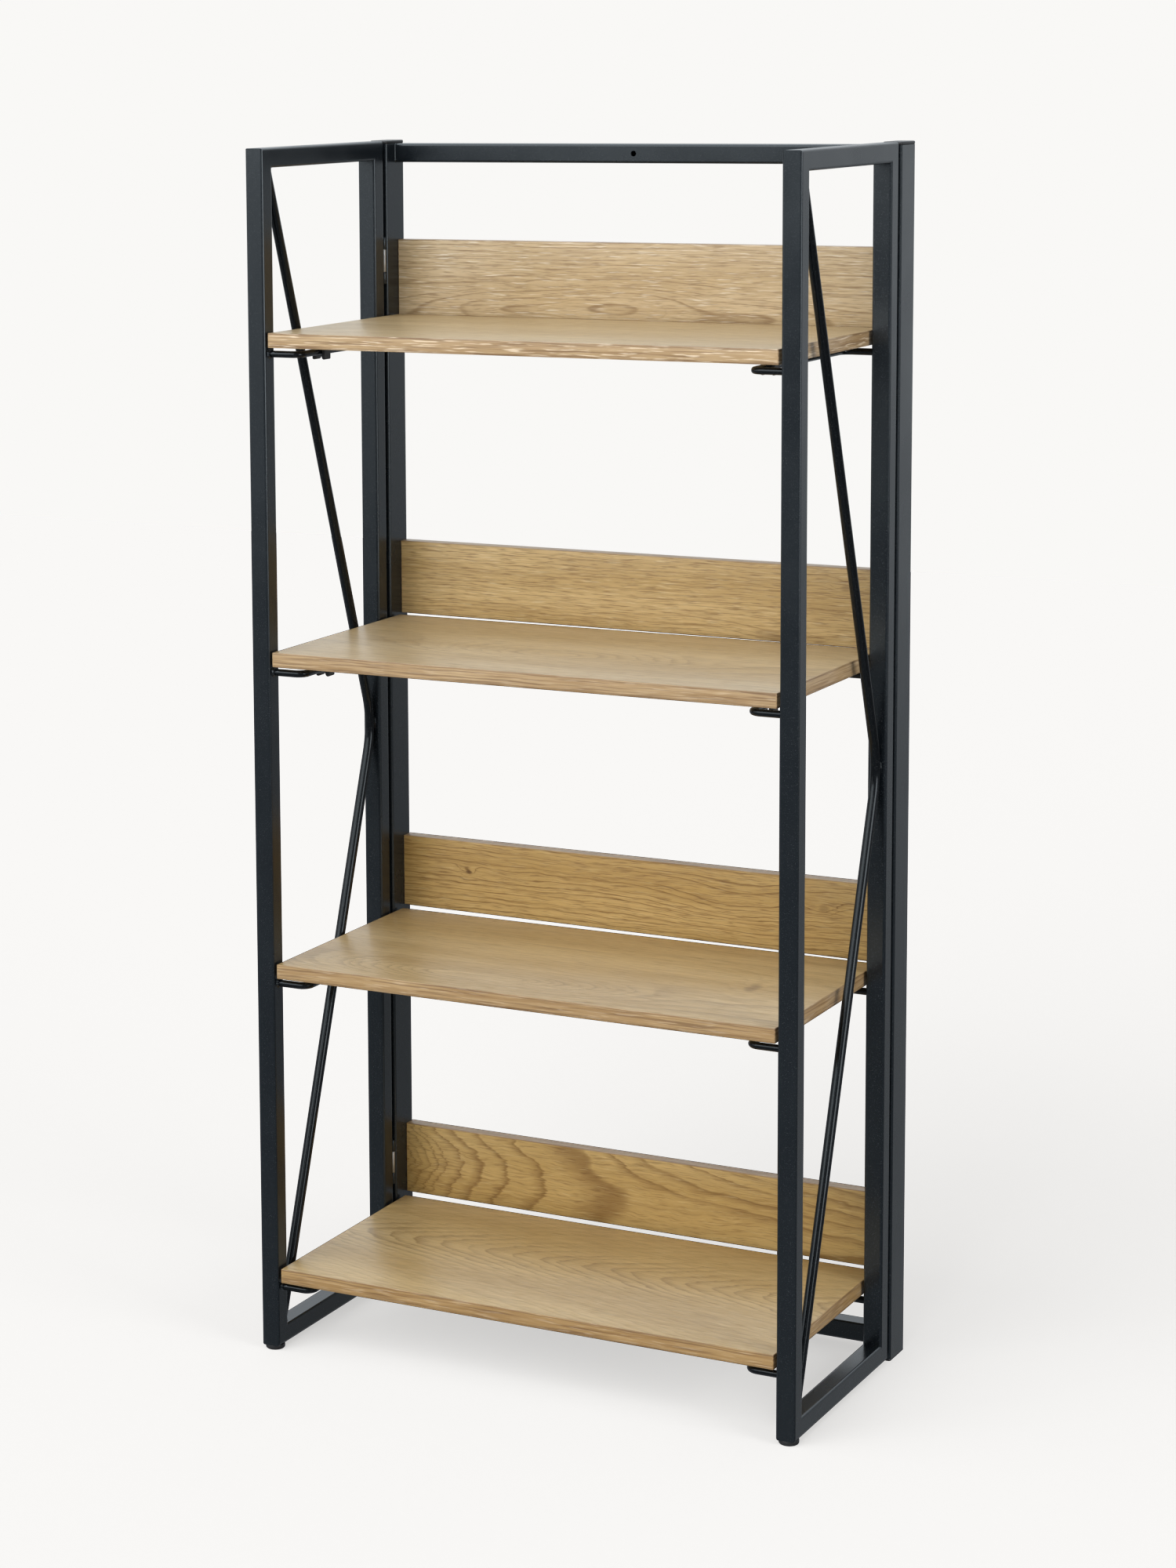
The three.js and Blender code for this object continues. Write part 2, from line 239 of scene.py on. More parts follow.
def make_piece(name: str, skin: Skin, *finishes: Material, crease: float = 35.0) -> Piece:
    """Put a skin into a mesh object that stands at the origin.

    Args:
        name: Name of the piece.
        skin: Its surface.
        *finishes: Its materials, in the order of the skin's finish numbers.
        crease: Angle in degrees past which an edge stays sharp.

    Returns:
        The new object.
    """
    mesh = bpy.data.meshes.new(name)
    mesh.vertices.add(len(skin.points))
    mesh.vertices.foreach_set("co", skin.points.astype(np.float32).ravel())
    sizes = np.array([4] * len(skin.quads) + [len(end) for end in skin.ends])
    corner_points = np.concatenate([skin.quads.ravel(), *skin.ends]).astype(np.int32)
    mesh.loops.add(len(corner_points))
    mesh.loops.foreach_set("vertex_index", corner_points)
    mesh.polygons.add(len(sizes))
    starts = np.cumsum(sizes) - sizes
    slots = np.concatenate([skin.quad_slots, np.full(len(skin.ends), skin.end_slot)])
    mesh.polygons.foreach_set("loop_start", starts.astype(np.int32))
    mesh.polygons.foreach_set("material_index", slots.astype(np.int32))
    mesh.polygons.foreach_set("use_smooth", np.ones(len(sizes), bool))
    mesh.update(calc_edges=True)
    mesh.validate()
    mesh.set_sharp_from_angle(angle=math.radians(crease))
    for finish in finishes:
        mesh.materials.append(finish)
    return stand(name, mesh)


def rounded_outline(width: float, height: float, radius: Array, steps: int) -> Array:
    """Trace a rectangle with rounded corners.

    Corner c has its arc's centre at (sx (w / 2 - r), sy (h / 2 - r)), and its points are the
    centre plus r (cos a, sin a), with a from (c - 1) x 90 to c x 90 degrees.

    Args:
        width: Size along the first axis, a number or an array over rows.
        height: Size along the second axis, likewise.
        radius: Corner radius, likewise.
        steps: Segments in each corner.

    Returns:
        Array of 4 x (steps + 1) points x 2, with the rows first where there are any.
    """
    w, h, r = (np.asarray(size, float)[..., None, None] for size in (width, height, radius))
    sx, sy = np.array([1, 1, -1, -1])[:, None], np.array([-1, 1, 1, -1])[:, None]
    angle = (np.arange(4)[:, None] - 1 + np.arange(steps + 1) / steps) * math.pi / 2
    x = sx * (w / 2 - r) + r * np.cos(angle)
    y = sy * (h / 2 - r) + r * np.sin(angle)
    return np.stack([x, y], -1).reshape(*x.shape[:-2], -1, 2)


def rounded_block(low: Array, high: Array, radius: float, axis: int, steps: int = 4) -> Array:
    """Carry a rounded rectangle along one axis and round both its ends.

    Near an end the section draws in by r (1 - cos a) while it moves on by r sin a, with a
    from 0 to 90 degrees, so all edges of the block have the same radius.

    Args:
        low: Lowest corner of the block.
        high: Highest corner of the block.
        radius: Radius of its edges.
        axis: Number of the axis that the section is carried along.
        steps: Segments in each rounding.

    Returns:
        Array of rows x places x 3.
    """
    tightest = radius * 0.08
    size, middle = high - low, (high + low) / 2
    turn = np.linspace(0, math.pi / 2, steps + 1)
    inset = radius * (1 - np.cos(turn))
    along = size[axis] / 2 - radius + radius * np.sin(turn)
    insets = np.concatenate([inset[::-1], inset])
    first, second = (axis + 1) % 3, (axis + 2) % 3
    width, height = size[first] - 2 * insets, size[second] - 2 * insets
    outline = rounded_outline(width, height, np.maximum(radius - insets, tightest), steps)
    points = np.zeros((*outline.shape[:2], 3))
    points[..., first] = middle[first] + outline[..., 0]
    points[..., second] = middle[second] + outline[..., 1]
    points[..., axis] = middle[axis] + np.concatenate([-along[::-1], along])[:, None]
    return points


def lathe(profile: Array, centre: Array, sides: int) -> Array:
    """Turn a profile of (radius, height) about an upright line.

    Point (i, j) is r_i (cos a_j, sin a_j) across the line and h_i along it, with a_j the
    full turn times j / sides.

    Args:
        profile: Array of rows x 2, radius and height.
        centre: Point where the height is 0.
        sides: Places round the line.

    Returns:
        Array of rows x sides x 3.
    """
    angle = TURN * np.arange(sides) / sides
    radius, height = profile[:, :1], np.repeat(profile[:, 1:], sides, 1)
    return centre + np.stack([radius * np.cos(angle), radius * np.sin(angle), height], -1)


def bent_path(stations: Array, radius: float, steps: int) -> Array:
    """Round the inner corners of a line of straight legs.

    At a corner between unit directions d and e that turn by angle w, the arc starts
    r tan(w / 2) before the corner. Its points are c + r (sin(w - s) u + sin(s) v) / sin(w),
    with c the arc's centre, u and v the unit vectors to its ends and s from 0 to w.

    Args:
        stations: Array of corner points x 3.
        radius: Bend radius at the middle of the rod.
        steps: Segments in each bend.

    Returns:
        Array of points x 3, from the first station to the last.
    """
    line = [stations[:1]]
    for before, corner, after in zip(stations[:-2], stations[1:-1], stations[2:]):
        d = (corner - before) / np.linalg.norm(corner - before)
        e = (after - corner) / np.linalg.norm(after - corner)
        turn = math.acos(float(np.clip(d @ e, -1, 1)))
        reach = radius * math.tan(turn / 2)
        start, end = corner - d * reach, corner + e * reach
        inward = (e - d) / np.linalg.norm(e - d)
        centre = corner + inward * radius / math.cos(turn / 2)
        s = np.linspace(0, turn, steps + 1)[:, None]
        u, v = (start - centre) / radius, (end - centre) / radius
        line.append(centre + radius * (np.sin(turn - s) * u + np.sin(s) * v) / math.sin(turn))
    line.append(stations[-1:])
    return np.vstack(line)


def rod(path: Array, plane: Array, radius: float, sides: int) -> Array:
    """Carry a circle along a flat path.

    With t the path's direction, n the normal of its plane and s = t x n, point (i, j) is
    p_i + r (cos a_j n + sin a_j s_i).

    Args:
        path: Array of points x 3.
        plane: Unit normal of the plane that the path lies in.
        radius: Radius of the rod.
        sides: Places round the rod.

    Returns:
        Array of points x sides x 3.
    """
    tangent = np.gradient(path, axis=0)
    tangent[0], tangent[-1] = path[1] - path[0], path[-1] - path[-2]
    tangent /= np.linalg.norm(tangent, axis=1, keepdims=True)
    across = np.cross(tangent, plane)[:, None]
    angle = (TURN * np.arange(sides) / sides)[None, :, None]
    return path[:, None] + radius * np.cos(angle) * plane + radius * np.sin(angle) * across


def prism(outline: Callable[[float], Array], start: float, end: float, chamfer: float) -> Array:
    """Carry a closed outline in X and Z along Y, with a small chamfer at both ends.

    Args:
        outline: Function that gives points x 2, X and Z, of the outline drawn in by a distance.
        start: Y of the first end.
        end: Y of the other end.
        chamfer: Size of the chamfer.

    Returns:
        Array of 4 rows x points x 3.
    """
    full, drawn = outline(0.0), outline(chamfer)
    rows = [(drawn, start), (full, start + chamfer), (full, end - chamfer), (drawn, end)]
    return np.stack([np.insert(flat, 1, y, axis=1) for flat, y in rows])


def weld_ring(outline: Array, across: Array, reach: Array, rise: Array, place: Array) -> Array:
    """Lay a fillet round an outline that stands on a face.

    The bead's own profile is a closed loop of (a, b) pairs, with a across the face and b up
    the piece. Point (i, j) is outline_i + across_i a_j reach_i on the face and b_j rise_i
    above it.

    Args:
        outline: Array of points x 2, where the piece meets the face.
        across: Array of points x 2, unit vectors away from the piece.
        reach: How far the bead spreads over the face at each point.
        rise: How far it climbs the piece at each point.
        place: Array of 3 x 4 that takes the face's plane, with the piece along local Z, to
            the object: its three axes and its origin as columns.

    Returns:
        Array of points x profile places x 3, to be closed as a ring.
    """
    bead = np.array([
        [-0.25, -0.2], [1.05, -0.2], [1.0, 0.08], [0.72, 0.24], [0.48, 0.42], [0.28, 0.66],
        [0.12, 0.92], [-0.05, 1.0], [-0.25, 0.9],
    ])
    flat = outline[:, None] + across[:, None] * (bead[None, :, :1] * reach[:, None, None])
    high = bead[None, :, 1:] * rise[:, None, None]
    return np.concatenate([flat, high], -1) @ place[:, :3].T + place[:, 3]


def ripple(angle: Array, waves: tuple[int, ...], phase: float) -> Array:
    """Add sines of whole numbers of waves round a turn, for the uneven width of a bead.

    Args:
        angle: Places round the turn, in radians.
        waves: Numbers of waves in the turn.
        phase: Where the first wave starts, so that beads differ.

    Returns:
        Values about 1, within 0.4 of it.
    """
    swing, step = 0.4, 1.7
    parts = [np.sin(count * angle + phase * number * step) for number, count in enumerate(waves, 1)]
    return 1 + swing * np.sum(parts, axis=0) / len(waves)


# Shader nodes and finishes


class Wiring:
    """Adds nodes to one tree and joins them, so that a formula takes a line for each step."""

    def __init__(self, tree: Tree) -> None:
        """Keep the tree that the nodes go to."""
        self.tree = tree

    def put(self, target: Socket, value: Value) -> None:
        """Link a socket to a target, or set the target's own value.

        Args:
            target: Input socket.
            value: Output socket, number or tuple.
        """
        if isinstance(value, Socket):
            self.tree.links.new(value, target)
        else:
            target.default_value = value

    def node(self, kind: str, **settings: object) -> Node:
        """Add a node and set its options.

        Args:
            kind: Node type.
            **settings: Options of the node by name.

        Returns:
            The new node.
        """
        made = self.tree.nodes.new(kind)
        for name, value in settings.items():
            setattr(made, name, value)
        return made

    def fill(self, made: Node, *values: Value) -> Socket:
        """Put values into a node's inputs in order.

        Args:
            made: The node.
            *values: Values of its first inputs.

        Returns:
            Its first output.
        """
        for target, value in zip(made.inputs, values):
            self.put(target, value)
        return made.outputs[0]

    def math(self, operation: str, *values: Value) -> Socket:
        """Work one number out of up to three with a Math node."""
        return self.fill(self.node("ShaderNodeMath", operation=operation), *values)

    def times(self, first: Value, second: Value) -> Socket:
        """Multiply two numbers."""
        return self.math("MULTIPLY", first, second)

    def scaled(self, value: Value, gain: Value, base: Value) -> Socket:
        """Give value x gain + base."""
        return self.math("MULTIPLY_ADD", value, gain, base)

    def less(self, value: Value, taken: Value) -> Socket:
        """Give value - taken."""
        return self.math("SUBTRACT", value, taken)

    def vector(self, operation: str, *values: Value) -> Socket:
        """Work one vector, or a dot product, out of two.

        Args:
            operation: Operation of a Vector Math node.
            *values: Its inputs.

        Returns:
            The result's socket.
        """
        made = self.node("ShaderNodeVectorMath", operation=operation)
        self.fill(made, *values)
        return made.outputs["Value" if operation == "DOT_PRODUCT" else "Vector"]

    def combine(self, *values: Value) -> Socket:
        """Make a vector of up to three numbers."""
        return self.fill(self.node("ShaderNodeCombineXYZ"), *values)

    def split(self, whole: Value) -> tuple[Socket, Socket, Socket]:
        """Take a vector apart.

        Args:
            whole: The vector.

        Returns:
            Its X, Y and Z.
        """
        made = self.node("ShaderNodeSeparateXYZ")
        self.fill(made, whole)
        return tuple(made.outputs)

    def noise(
        self, place: Value, stretch: Value, detail: float = 3.0, rough: float = 0.5
    ) -> Socket:
        """Read a noise texture at a stretched place.

        Args:
            place: Vector in metres.
            stretch: How many features there are in a metre along each axis.
            detail: Octaves of the noise.
            rough: How strong the finer octaves are.

        Returns:
            The noise, about 0.5.
        """
        made = self.node("ShaderNodeTexNoise")
        self.put(made.inputs["Vector"], self.vector("MULTIPLY", place, stretch))
        for label, value in (("Scale", 1.0), ("Detail", detail), ("Roughness", rough)):
            made.inputs[label].default_value = value
        return made.outputs[0]

    def ease(
        self, value: Value, low: Value, high: Value, to_low: Value = 0.0, to_high: Value = 1.0
    ) -> Socket:
        """Map a range smoothly onto another and hold the ends.

        Args:
            value: The number to map.
            low: Start of its range.
            high: End of its range.
            to_low: Result at the start.
            to_high: Result at the end.

        Returns:
            The result's socket.
        """
        made = self.node("ShaderNodeMapRange", interpolation_type="SMOOTHSTEP")
        return self.fill(made, value, low, high, to_low, to_high)

    def tint(self, share: Value, under: Value, over: Value) -> Socket:
        """Lay one colour over another.

        Args:
            share: How much of the upper colour shows, 0 to 1.
            under: The colour below.
            over: The colour above.

        Returns:
            The mixed colour's socket.
        """
        made = self.node("ShaderNodeMix", data_type="RGBA")
        for label, value in (("Factor", share), ("A", under), ("B", over)):
            self.put(made.inputs[label], value)
        return made.outputs["Result"]

    def group(self, tree: Tree, **values: Value) -> Node:
        """Place a node group with its own values.

        Args:
            tree: The group's tree.
            **values: Inputs by name, with _ for a space.

        Returns:
            The group node.
        """
        made = self.node("ShaderNodeGroup", node_tree=tree)
        for name, value in values.items():
            self.put(made.inputs[name.replace("_", " ")], value)
        return made

    def streaks(self, place: Value, stretch: Value, low: float, high: float) -> Socket:
        """Place the group of streaks and give its mask."""
        made = self.group(Grouped.STREAKS.tree, Place=place, Stretch=stretch, Low=low, High=high)
        return made.outputs[0]

    def bump(self, shader: Node, height: Value, distance: float) -> None:
        """Feed a Bump node into a shader's normal.

        Args:
            shader: The Principled shader.
            height: Height mask.
            distance: Depth of the relief in metres.
        """
        made = self.node("ShaderNodeBump")
        made.inputs["Distance"].default_value = distance
        self.put(made.inputs["Height"], height)
        self.put(shader.inputs["Normal"], made.outputs[0])


def new_group(
    name: str, inputs: dict[str, tuple[str, Value]], outputs: tuple[str, ...]
) -> tuple[Wiring, Sockets, Sockets]:
    """Make an empty shader node group with named sockets.

    Args:
        name: Name of the group.
        inputs: Socket kind and first value of each input by name.
        outputs: Names of its outputs, all numbers.

    Returns:
        The wiring of the group, its given values and its results to fill.
    """
    tree = bpy.data.node_groups.new(name, "ShaderNodeTree")
    for label, (kind, value) in inputs.items():
        kind = f"NodeSocket{kind}"
        socket = tree.interface.new_socket(name=label, in_out="INPUT", socket_type=kind)
        socket.default_value = value
    for label in outputs:
        kind = f"NodeSocket{NUMBER}"
        tree.interface.new_socket(name=label, in_out="OUTPUT", socket_type=kind)
    w = Wiring(tree)
    return w, w.node("NodeGroupInput").outputs, w.node("NodeGroupOutput").inputs


def make_streak_group() -> Tree:
    """Build the group of short streaks along the grain: noise cut between two levels."""
    inputs = {"Place": (VECTOR, ORIGIN), "Stretch": (VECTOR, ORIGIN)}
    inputs |= {"Low": (NUMBER, 0.0), "High": (NUMBER, 1.0)}
    w, given, results = new_group("fine_streaks", inputs, ("Mask",))
    noise = w.noise(given["Place"], given["Stretch"], 2.0, 0.55)
    w.put(results["Mask"], w.ease(noise, given["Low"], given["High"]))
    return w.tree


def knot_terms(w: Wiring, place: Value, centre: Value, size: Value) -> tuple[Socket, Socket]:
    """Give the push of one knot on the growth rings and its dark core.

    With d = (place - centre) x (1 / rx, 1 / ry), the push is h exp(-d . d) rings. The core is
    k times an ease that falls from 1 to 0 while d . d grows to the core's reach. The size
    holds 1 / rx, 1 / ry and h. The centre's Z holds k.

    Args:
        w: Wiring of the group.
        place: Place on the board.
        centre: Centre of the knot.
        size: The size vector.

    Returns:
        The push in rings and the core's darkness.
    """
    core_reach = 0.2
    along, across, height = w.split(size)
    darkness = w.split(centre)[2]
    d = w.vector("MULTIPLY", w.vector("SUBTRACT", place, centre), w.combine(along, across))
    square = w.vector("DOT_PRODUCT", d, d)
    push = w.times(w.math("EXPONENT", w.times(square, -1.0)), height)
    return push, w.times(w.ease(square, 0.0, core_reach, 1.0, 0.0), darkness)


@dataclass(frozen=True)
class FigureRules:
    """Numbers that all oak figures share: noise in features per metre, and shares of a ring."""

    drift: tuple = (9.0, 55.0, 55.0)
    feather: tuple = (26.0, 620.0, 620.0)
    wave: tuple = (7.0, 24.0, 24.0)
    ripple: tuple = (34.0, 90.0, 90.0)
    ripple_gain: float = 0.7
    tone: tuple = (2.2, 20.0, 20.0)
    straight_from: float = 0.2
    spacing_noise: float = 0.75
    spacing_swing: float = 3.0
    age_noise: tuple = (8.0, 1.1)
    age_levels: tuple = (0.3, 0.55, 0.25, 1.0)
    fade_levels: tuple = (0.6, 1.5, 0.35)
    band_end: float = 0.9
    line_start: float = 0.78
    line_peak: float = 0.92
    marks: tuple = (
        ("Pores", (42.0, 760.0, 760.0), 0.5, 0.68),
        ("Dashes", (20.0, 470.0, 470.0), 0.55, 0.7),
        ("Flecks", (34.0, 600.0, 600.0), 0.56, 0.72),
        ("Fibre", (9.0, 190.0, 190.0), 0.36, 0.66),
    )
    mark_shift: tuple = (3.1, 1.7, 0.4)


def make_figure_group() -> Tree:
    """Build the group that draws sawn oak: growth rings, knots, pores and pale flecks.

    With u along the board and v across it, both shifted by stretched noise, the ring number is
    F = count s / (1 + |s| / reach) + slope g v + bow v^2 + knots, with g = 1 + grow max(u' - c, 0)
    and s = u' + lean dv + arms g (sqrt(dv^2 + e^2) - e), where u' and dv are measured from the
    tip of the arches and c is where the grain starts to straighten, plus a noise of F itself
    that spaces the rings unevenly. The dark late wood rises over the last part of each whole
    number of F and stops short there. Far from the arches' axis the rings fade.
    """
    rules = FigureRules()
    inputs = {name.capitalize(): (NUMBER, 0.0) for name in FIGURE_NUMBERS}
    inputs |= {name.capitalize(): (VECTOR, ORIGIN) for name in ("place", *FIGURE_VECTORS)}
    for letter in KNOT_LETTERS:
        inputs |= {f"Knot {letter}": (VECTOR, ORIGIN), f"Knot {letter} Size": (VECTOR, ORIGIN)}
    labels = ("Ring", "Line", "Core", "Pores", "Dashes", "Flecks", "Fibre", "Tone")
    w, g, results = new_group("oak_figure", inputs, labels)
    length, width, _ = w.split(g["Place"])
    tip_along, tip_across, blunt = w.split(g["Tip"])
    seeded = w.vector("ADD", g["Place"], g["Seed"])

    def shifted(under: Value, amount: Value, stretch: tuple, gain: float = 2.0) -> Socket:
        """Add gain x amount x (noise - 0.5) to a coordinate."""
        swing = w.times(w.less(w.noise(seeded, stretch, 2.0, 0.55), 0.5), gain)
        return w.scaled(swing, amount, under)

    u = shifted(shifted(length, g["Drift"], rules.drift), g["Feather"], rules.feather)
    v = shifted(shifted(width, g["Wave"], rules.wave), g["Wave"], rules.ripple, rules.ripple_gain)
    along, across = w.less(u, tip_along), w.less(v, tip_across)
    square = w.scaled(across, across, w.times(blunt, blunt))
    arm = w.less(w.math("SQRT", square), blunt)
    growth = w.scaled(w.math("MAXIMUM", w.less(along, rules.straight_from), 0.0), g["Grow"], 1.0)
    along = w.scaled(arm, w.times(g["Arms"], growth), along)
    along = w.scaled(across, g["Lean"], along)
    squeeze = w.math("ADD", w.math("DIVIDE", w.math("ABSOLUTE", along), g["Reach"]), 1.0)
    rings = w.math("DIVIDE", w.times(along, g["Count"]), squeeze)
    rings = w.scaled(w.times(v, g["Slope"]), growth, rings)
    rings = w.scaled(w.times(v, v), g["Bow"], rings)
    spot, core = w.combine(u, v), 0.0
    for letter in KNOT_LETTERS:
        push, dark = knot_terms(w, spot, g[f"Knot {letter}"], g[f"Knot {letter} Size"])
        rings, core = w.math("ADD", rings, push), w.math("MAXIMUM", core, dark)
    numbered = w.vector("ADD", w.combine(0.0, w.times(rings, rules.spacing_noise)), g["Seed"])
    uneven = w.times(w.less(w.noise(numbered, UNIT, 0.0), 0.5), rules.spacing_swing)
    rings = w.scaled(uneven, g["Uneven"], rings)
    phase = w.math("FRACT", rings)
    grain = w.combine(w.times(length, rules.age_noise[0]), w.times(rings, rules.age_noise[1]))
    age = w.ease(w.noise(w.vector("ADD", grain, g["Seed"]), UNIT, 1.0), *rules.age_levels)
    near, far, faint = rules.fade_levels
    fade_from, fade_to = w.times(g["Fade"], near), w.times(g["Fade"], far)
    age = w.times(age, w.ease(w.math("ABSOLUTE", across), fade_from, fade_to, 1.0, faint))
    for label, start, peak in (
        ("Ring", g["Start"], rules.band_end), ("Line", rules.line_start, rules.line_peak)
    ):
        mask = w.times(w.ease(phase, start, peak), w.ease(phase, peak, 1.0, 1.0, 0.0))
        w.put(results[label], w.times(mask, age))
    w.put(results["Core"], core)
    run = w.vector("ADD", w.combine(length, v), g["Seed"])
    for index, (label, stretch, low, high) in enumerate(rules.marks):
        place = w.vector("ADD", run, tuple(index * step for step in rules.mark_shift))
        w.put(results[label], w.streaks(place, stretch, low, high))
    w.put(results["Tone"], w.noise(seeded, rules.tone, 3.0))
    return w.tree


def make_skin_group() -> Tree:
    """Build the group for a coated or moulded surface: fine bumps, broad patches and specks."""
    speck_noise, speck_levels = (1700.0, 1700.0, 1700.0), (0.74, 0.8)
    inputs = {"Place": (VECTOR, ORIGIN), "Grain": (NUMBER, 0.0), "Patch": (NUMBER, 0.0)}
    w, g, results = new_group("coated_skin", inputs, ("Height", "Patches", "Specks"))
    fine, broad = (w.combine(g[name], g[name], g[name]) for name in ("Grain", "Patch"))
    w.put(results["Height"], w.noise(g["Place"], fine, 2.0, 0.6))
    w.put(results["Patches"], w.noise(g["Place"], broad, 4.0, 0.6))
    specks = w.noise(g["Place"], speck_noise, 0.0)
    w.put(results["Specks"], w.ease(specks, *speck_levels))
    return w.tree


class Grouped(Enum):
    """The shared node groups, by the name that each is built under."""

    FIGURE = "oak_figure"
    STREAKS = "fine_streaks"
    SKIN = "coated_skin"

    @property
    def tree(self) -> Tree:
        """The group's tree, built the first time that it is asked for."""
        makers = {
            Grouped.FIGURE: make_figure_group, Grouped.STREAKS: make_streak_group,
            Grouped.SKIN: make_skin_group,
        }
        return bpy.data.node_groups.get(self.value) or makers[self]()


def new_material(name: str) -> tuple[Material, Wiring, Node, Socket]:
    """Make a material with one Principled shader and the object's own coordinates.

    Args:
        name: Name of the material.

    Returns:
        The material, its wiring, its shader and the coordinates' socket.
    """
    material = bpy.data.materials.new(name)
    material.use_nodes = True
    w = Wiring(material.node_tree)
    shader = next(node for node in material.node_tree.nodes if node.type == "BSDF_PRINCIPLED")
    return material, w, shader, w.node("ShaderNodeTexCoord").outputs["Object"]


@dataclass(frozen=True)
class PowderCoat:
    """Satin charcoal powder coat with a fine orange peel and a few pale specks."""

    colour: tuple = srgb(16, 21, 26)
    pale: tuple = srgb(26, 31, 36)
    dust: tuple = srgb(120, 122, 124)
    sheen: tuple = (0.84, 0.94, 1.0, 1.0)
    roughness: float = 0.21
    dulling: float = 0.08
    level: float = 0.5
    peel: float = 0.00002
    grain: float = 650.0
    patch: float = 9.0
    patch_levels: tuple = (0.3, 0.7)
    patch_share: float = 0.35
    dust_share: float = 0.35

    def material(self, name: str) -> Material:
        """Build the material.

        Args:
            name: Name of the material.

        Returns:
            The material.
        """
        material, w, shader, place = new_material(name)
        skin = w.group(Grouped.SKIN.tree, Place=place, Grain=self.grain, Patch=self.patch).outputs
        tone = w.ease(skin["Patches"], *self.patch_levels)
        colour = w.tint(w.times(tone, self.patch_share), self.colour, self.pale)
        colour = w.tint(w.times(skin["Specks"], self.dust_share), colour, self.dust)
        w.put(shader.inputs["Base Color"], colour)
        w.put(shader.inputs["Roughness"], w.scaled(tone, self.dulling, self.roughness))
        shader.inputs["Specular Tint"].default_value = self.sheen
        shader.inputs["Specular IOR Level"].default_value = self.level
        w.bump(shader, skin["Height"], self.peel)
        return material


@dataclass(frozen=True)
class BlackPlastic:
    """Moulded black plastic with a fine spark finish."""

    colour: tuple = srgb(24, 25, 27)
    pale: tuple = srgb(38, 39, 41)
    roughness: float = 0.42
    dulling: float = 0.12
    relief: float = 0.00004
    grain: float = 2600.0
    patch: float = 40.0
    patch_levels: tuple = (0.3, 0.75)

    def material(self, name: str) -> Material:
        """Build the material.

        Args:
            name: Name of the material.

        Returns:
            The material.
        """
        material, w, shader, place = new_material(name)
        skin = w.group(Grouped.SKIN.tree, Place=place, Grain=self.grain, Patch=self.patch).outputs
        tone = w.ease(skin["Patches"], *self.patch_levels)
        w.put(shader.inputs["Base Color"], w.tint(tone, self.colour, self.pale))
        w.put(shader.inputs["Roughness"], w.scaled(skin["Patches"], self.dulling, self.roughness))
        w.bump(shader, skin["Height"], self.relief)
        return material


@dataclass(frozen=True)
class ZincSteel:
    """Bright zinc plate with drawn lines and a little dulling."""

    colour: tuple = srgb(168, 168, 166)
    dull: tuple = srgb(126, 127, 127)
    roughness: float = 0.36
    dulling: float = 0.15
    relief: float = 0.00002
    lines: tuple = (2500.0, 2500.0, 60.0)
    line_levels: tuple = (0.35, 0.7)
    grain: float = 1500.0
    patch: float = 60.0
    patch_levels: tuple = (0.35, 0.7)
    worn_share: float = 0.6

    def material(self, name: str) -> Material:
        """Build the material.

        Args:
            name: Name of the material.

        Returns:
            The material.
        """
        material, w, shader, place = new_material(name)
        lines = w.streaks(place, self.lines, *self.line_levels)
        skin = w.group(Grouped.SKIN.tree, Place=place, Grain=self.grain, Patch=self.patch).outputs
        worn = w.times(w.ease(skin["Patches"], *self.patch_levels), self.worn_share)
        w.put(shader.inputs["Base Color"], w.tint(worn, self.colour, self.dull))
        w.put(shader.inputs["Roughness"], w.scaled(lines, self.dulling, self.roughness))
        shader.inputs["Metallic"].default_value = 1.0
        w.bump(shader, lines, self.relief)
        return material


class Lay(Enum):
    """How a board's face lies: its grain always runs along X."""

    FLAT = "flat"
    UPRIGHT = "upright"


@dataclass(frozen=True)
class OakFigure:
    """The growth rings on one board: numbers for the figure group, in metres and rings.

    A knot is its centre, with its core's darkness as Z, and its size as the knot formula takes it.
    The shares say how strongly each kind of mark shows, and the cast tints the whole board: partly
    the board's own tone and partly painted light, fitted board by board so that the higher boards
    mostly come out paler and the lower ones browner and darker.
    """

    slope: float = 90.0
    bow: float = 0.0
    tip: tuple = (0.0, 0.0, 0.01)
    count: float = 0.0
    arms: float = 0.0
    grow: float = 0.0
    lean: float = 0.0
    reach: float = 10.0
    fade: float = 1.0
    knots: tuple = ()
    wave: float = 0.003
    drift: float = 0.006
    feather: float = 0.004
    uneven: float = 0.4
    seed: tuple = ORIGIN
    start: float = 0.55
    ring_share: float = 0.4
    line_share: float = 0.4
    pore_share: float = 0.45
    dash_share: float = 0.3
    fleck_share: float = 0.3
    cast: tuple = UNIT

    def sockets(self) -> dict[str, Value]:
        """Give the figure group's inputs by name, with a flat knot where one is missing.

        Returns:
            The inputs, with _ for a space.
        """
        blank = (ORIGIN, (10.0, 40.0, 0.0))
        knots = [*self.knots, blank, blank, blank]
        names = FIGURE_NUMBERS + FIGURE_VECTORS
        values = {name.capitalize(): getattr(self, name) for name in names}
        for letter, (centre, size) in zip(KNOT_LETTERS, knots):
            values[f"Knot_{letter}"], values[f"Knot_{letter}_Size"] = centre, size
        return values


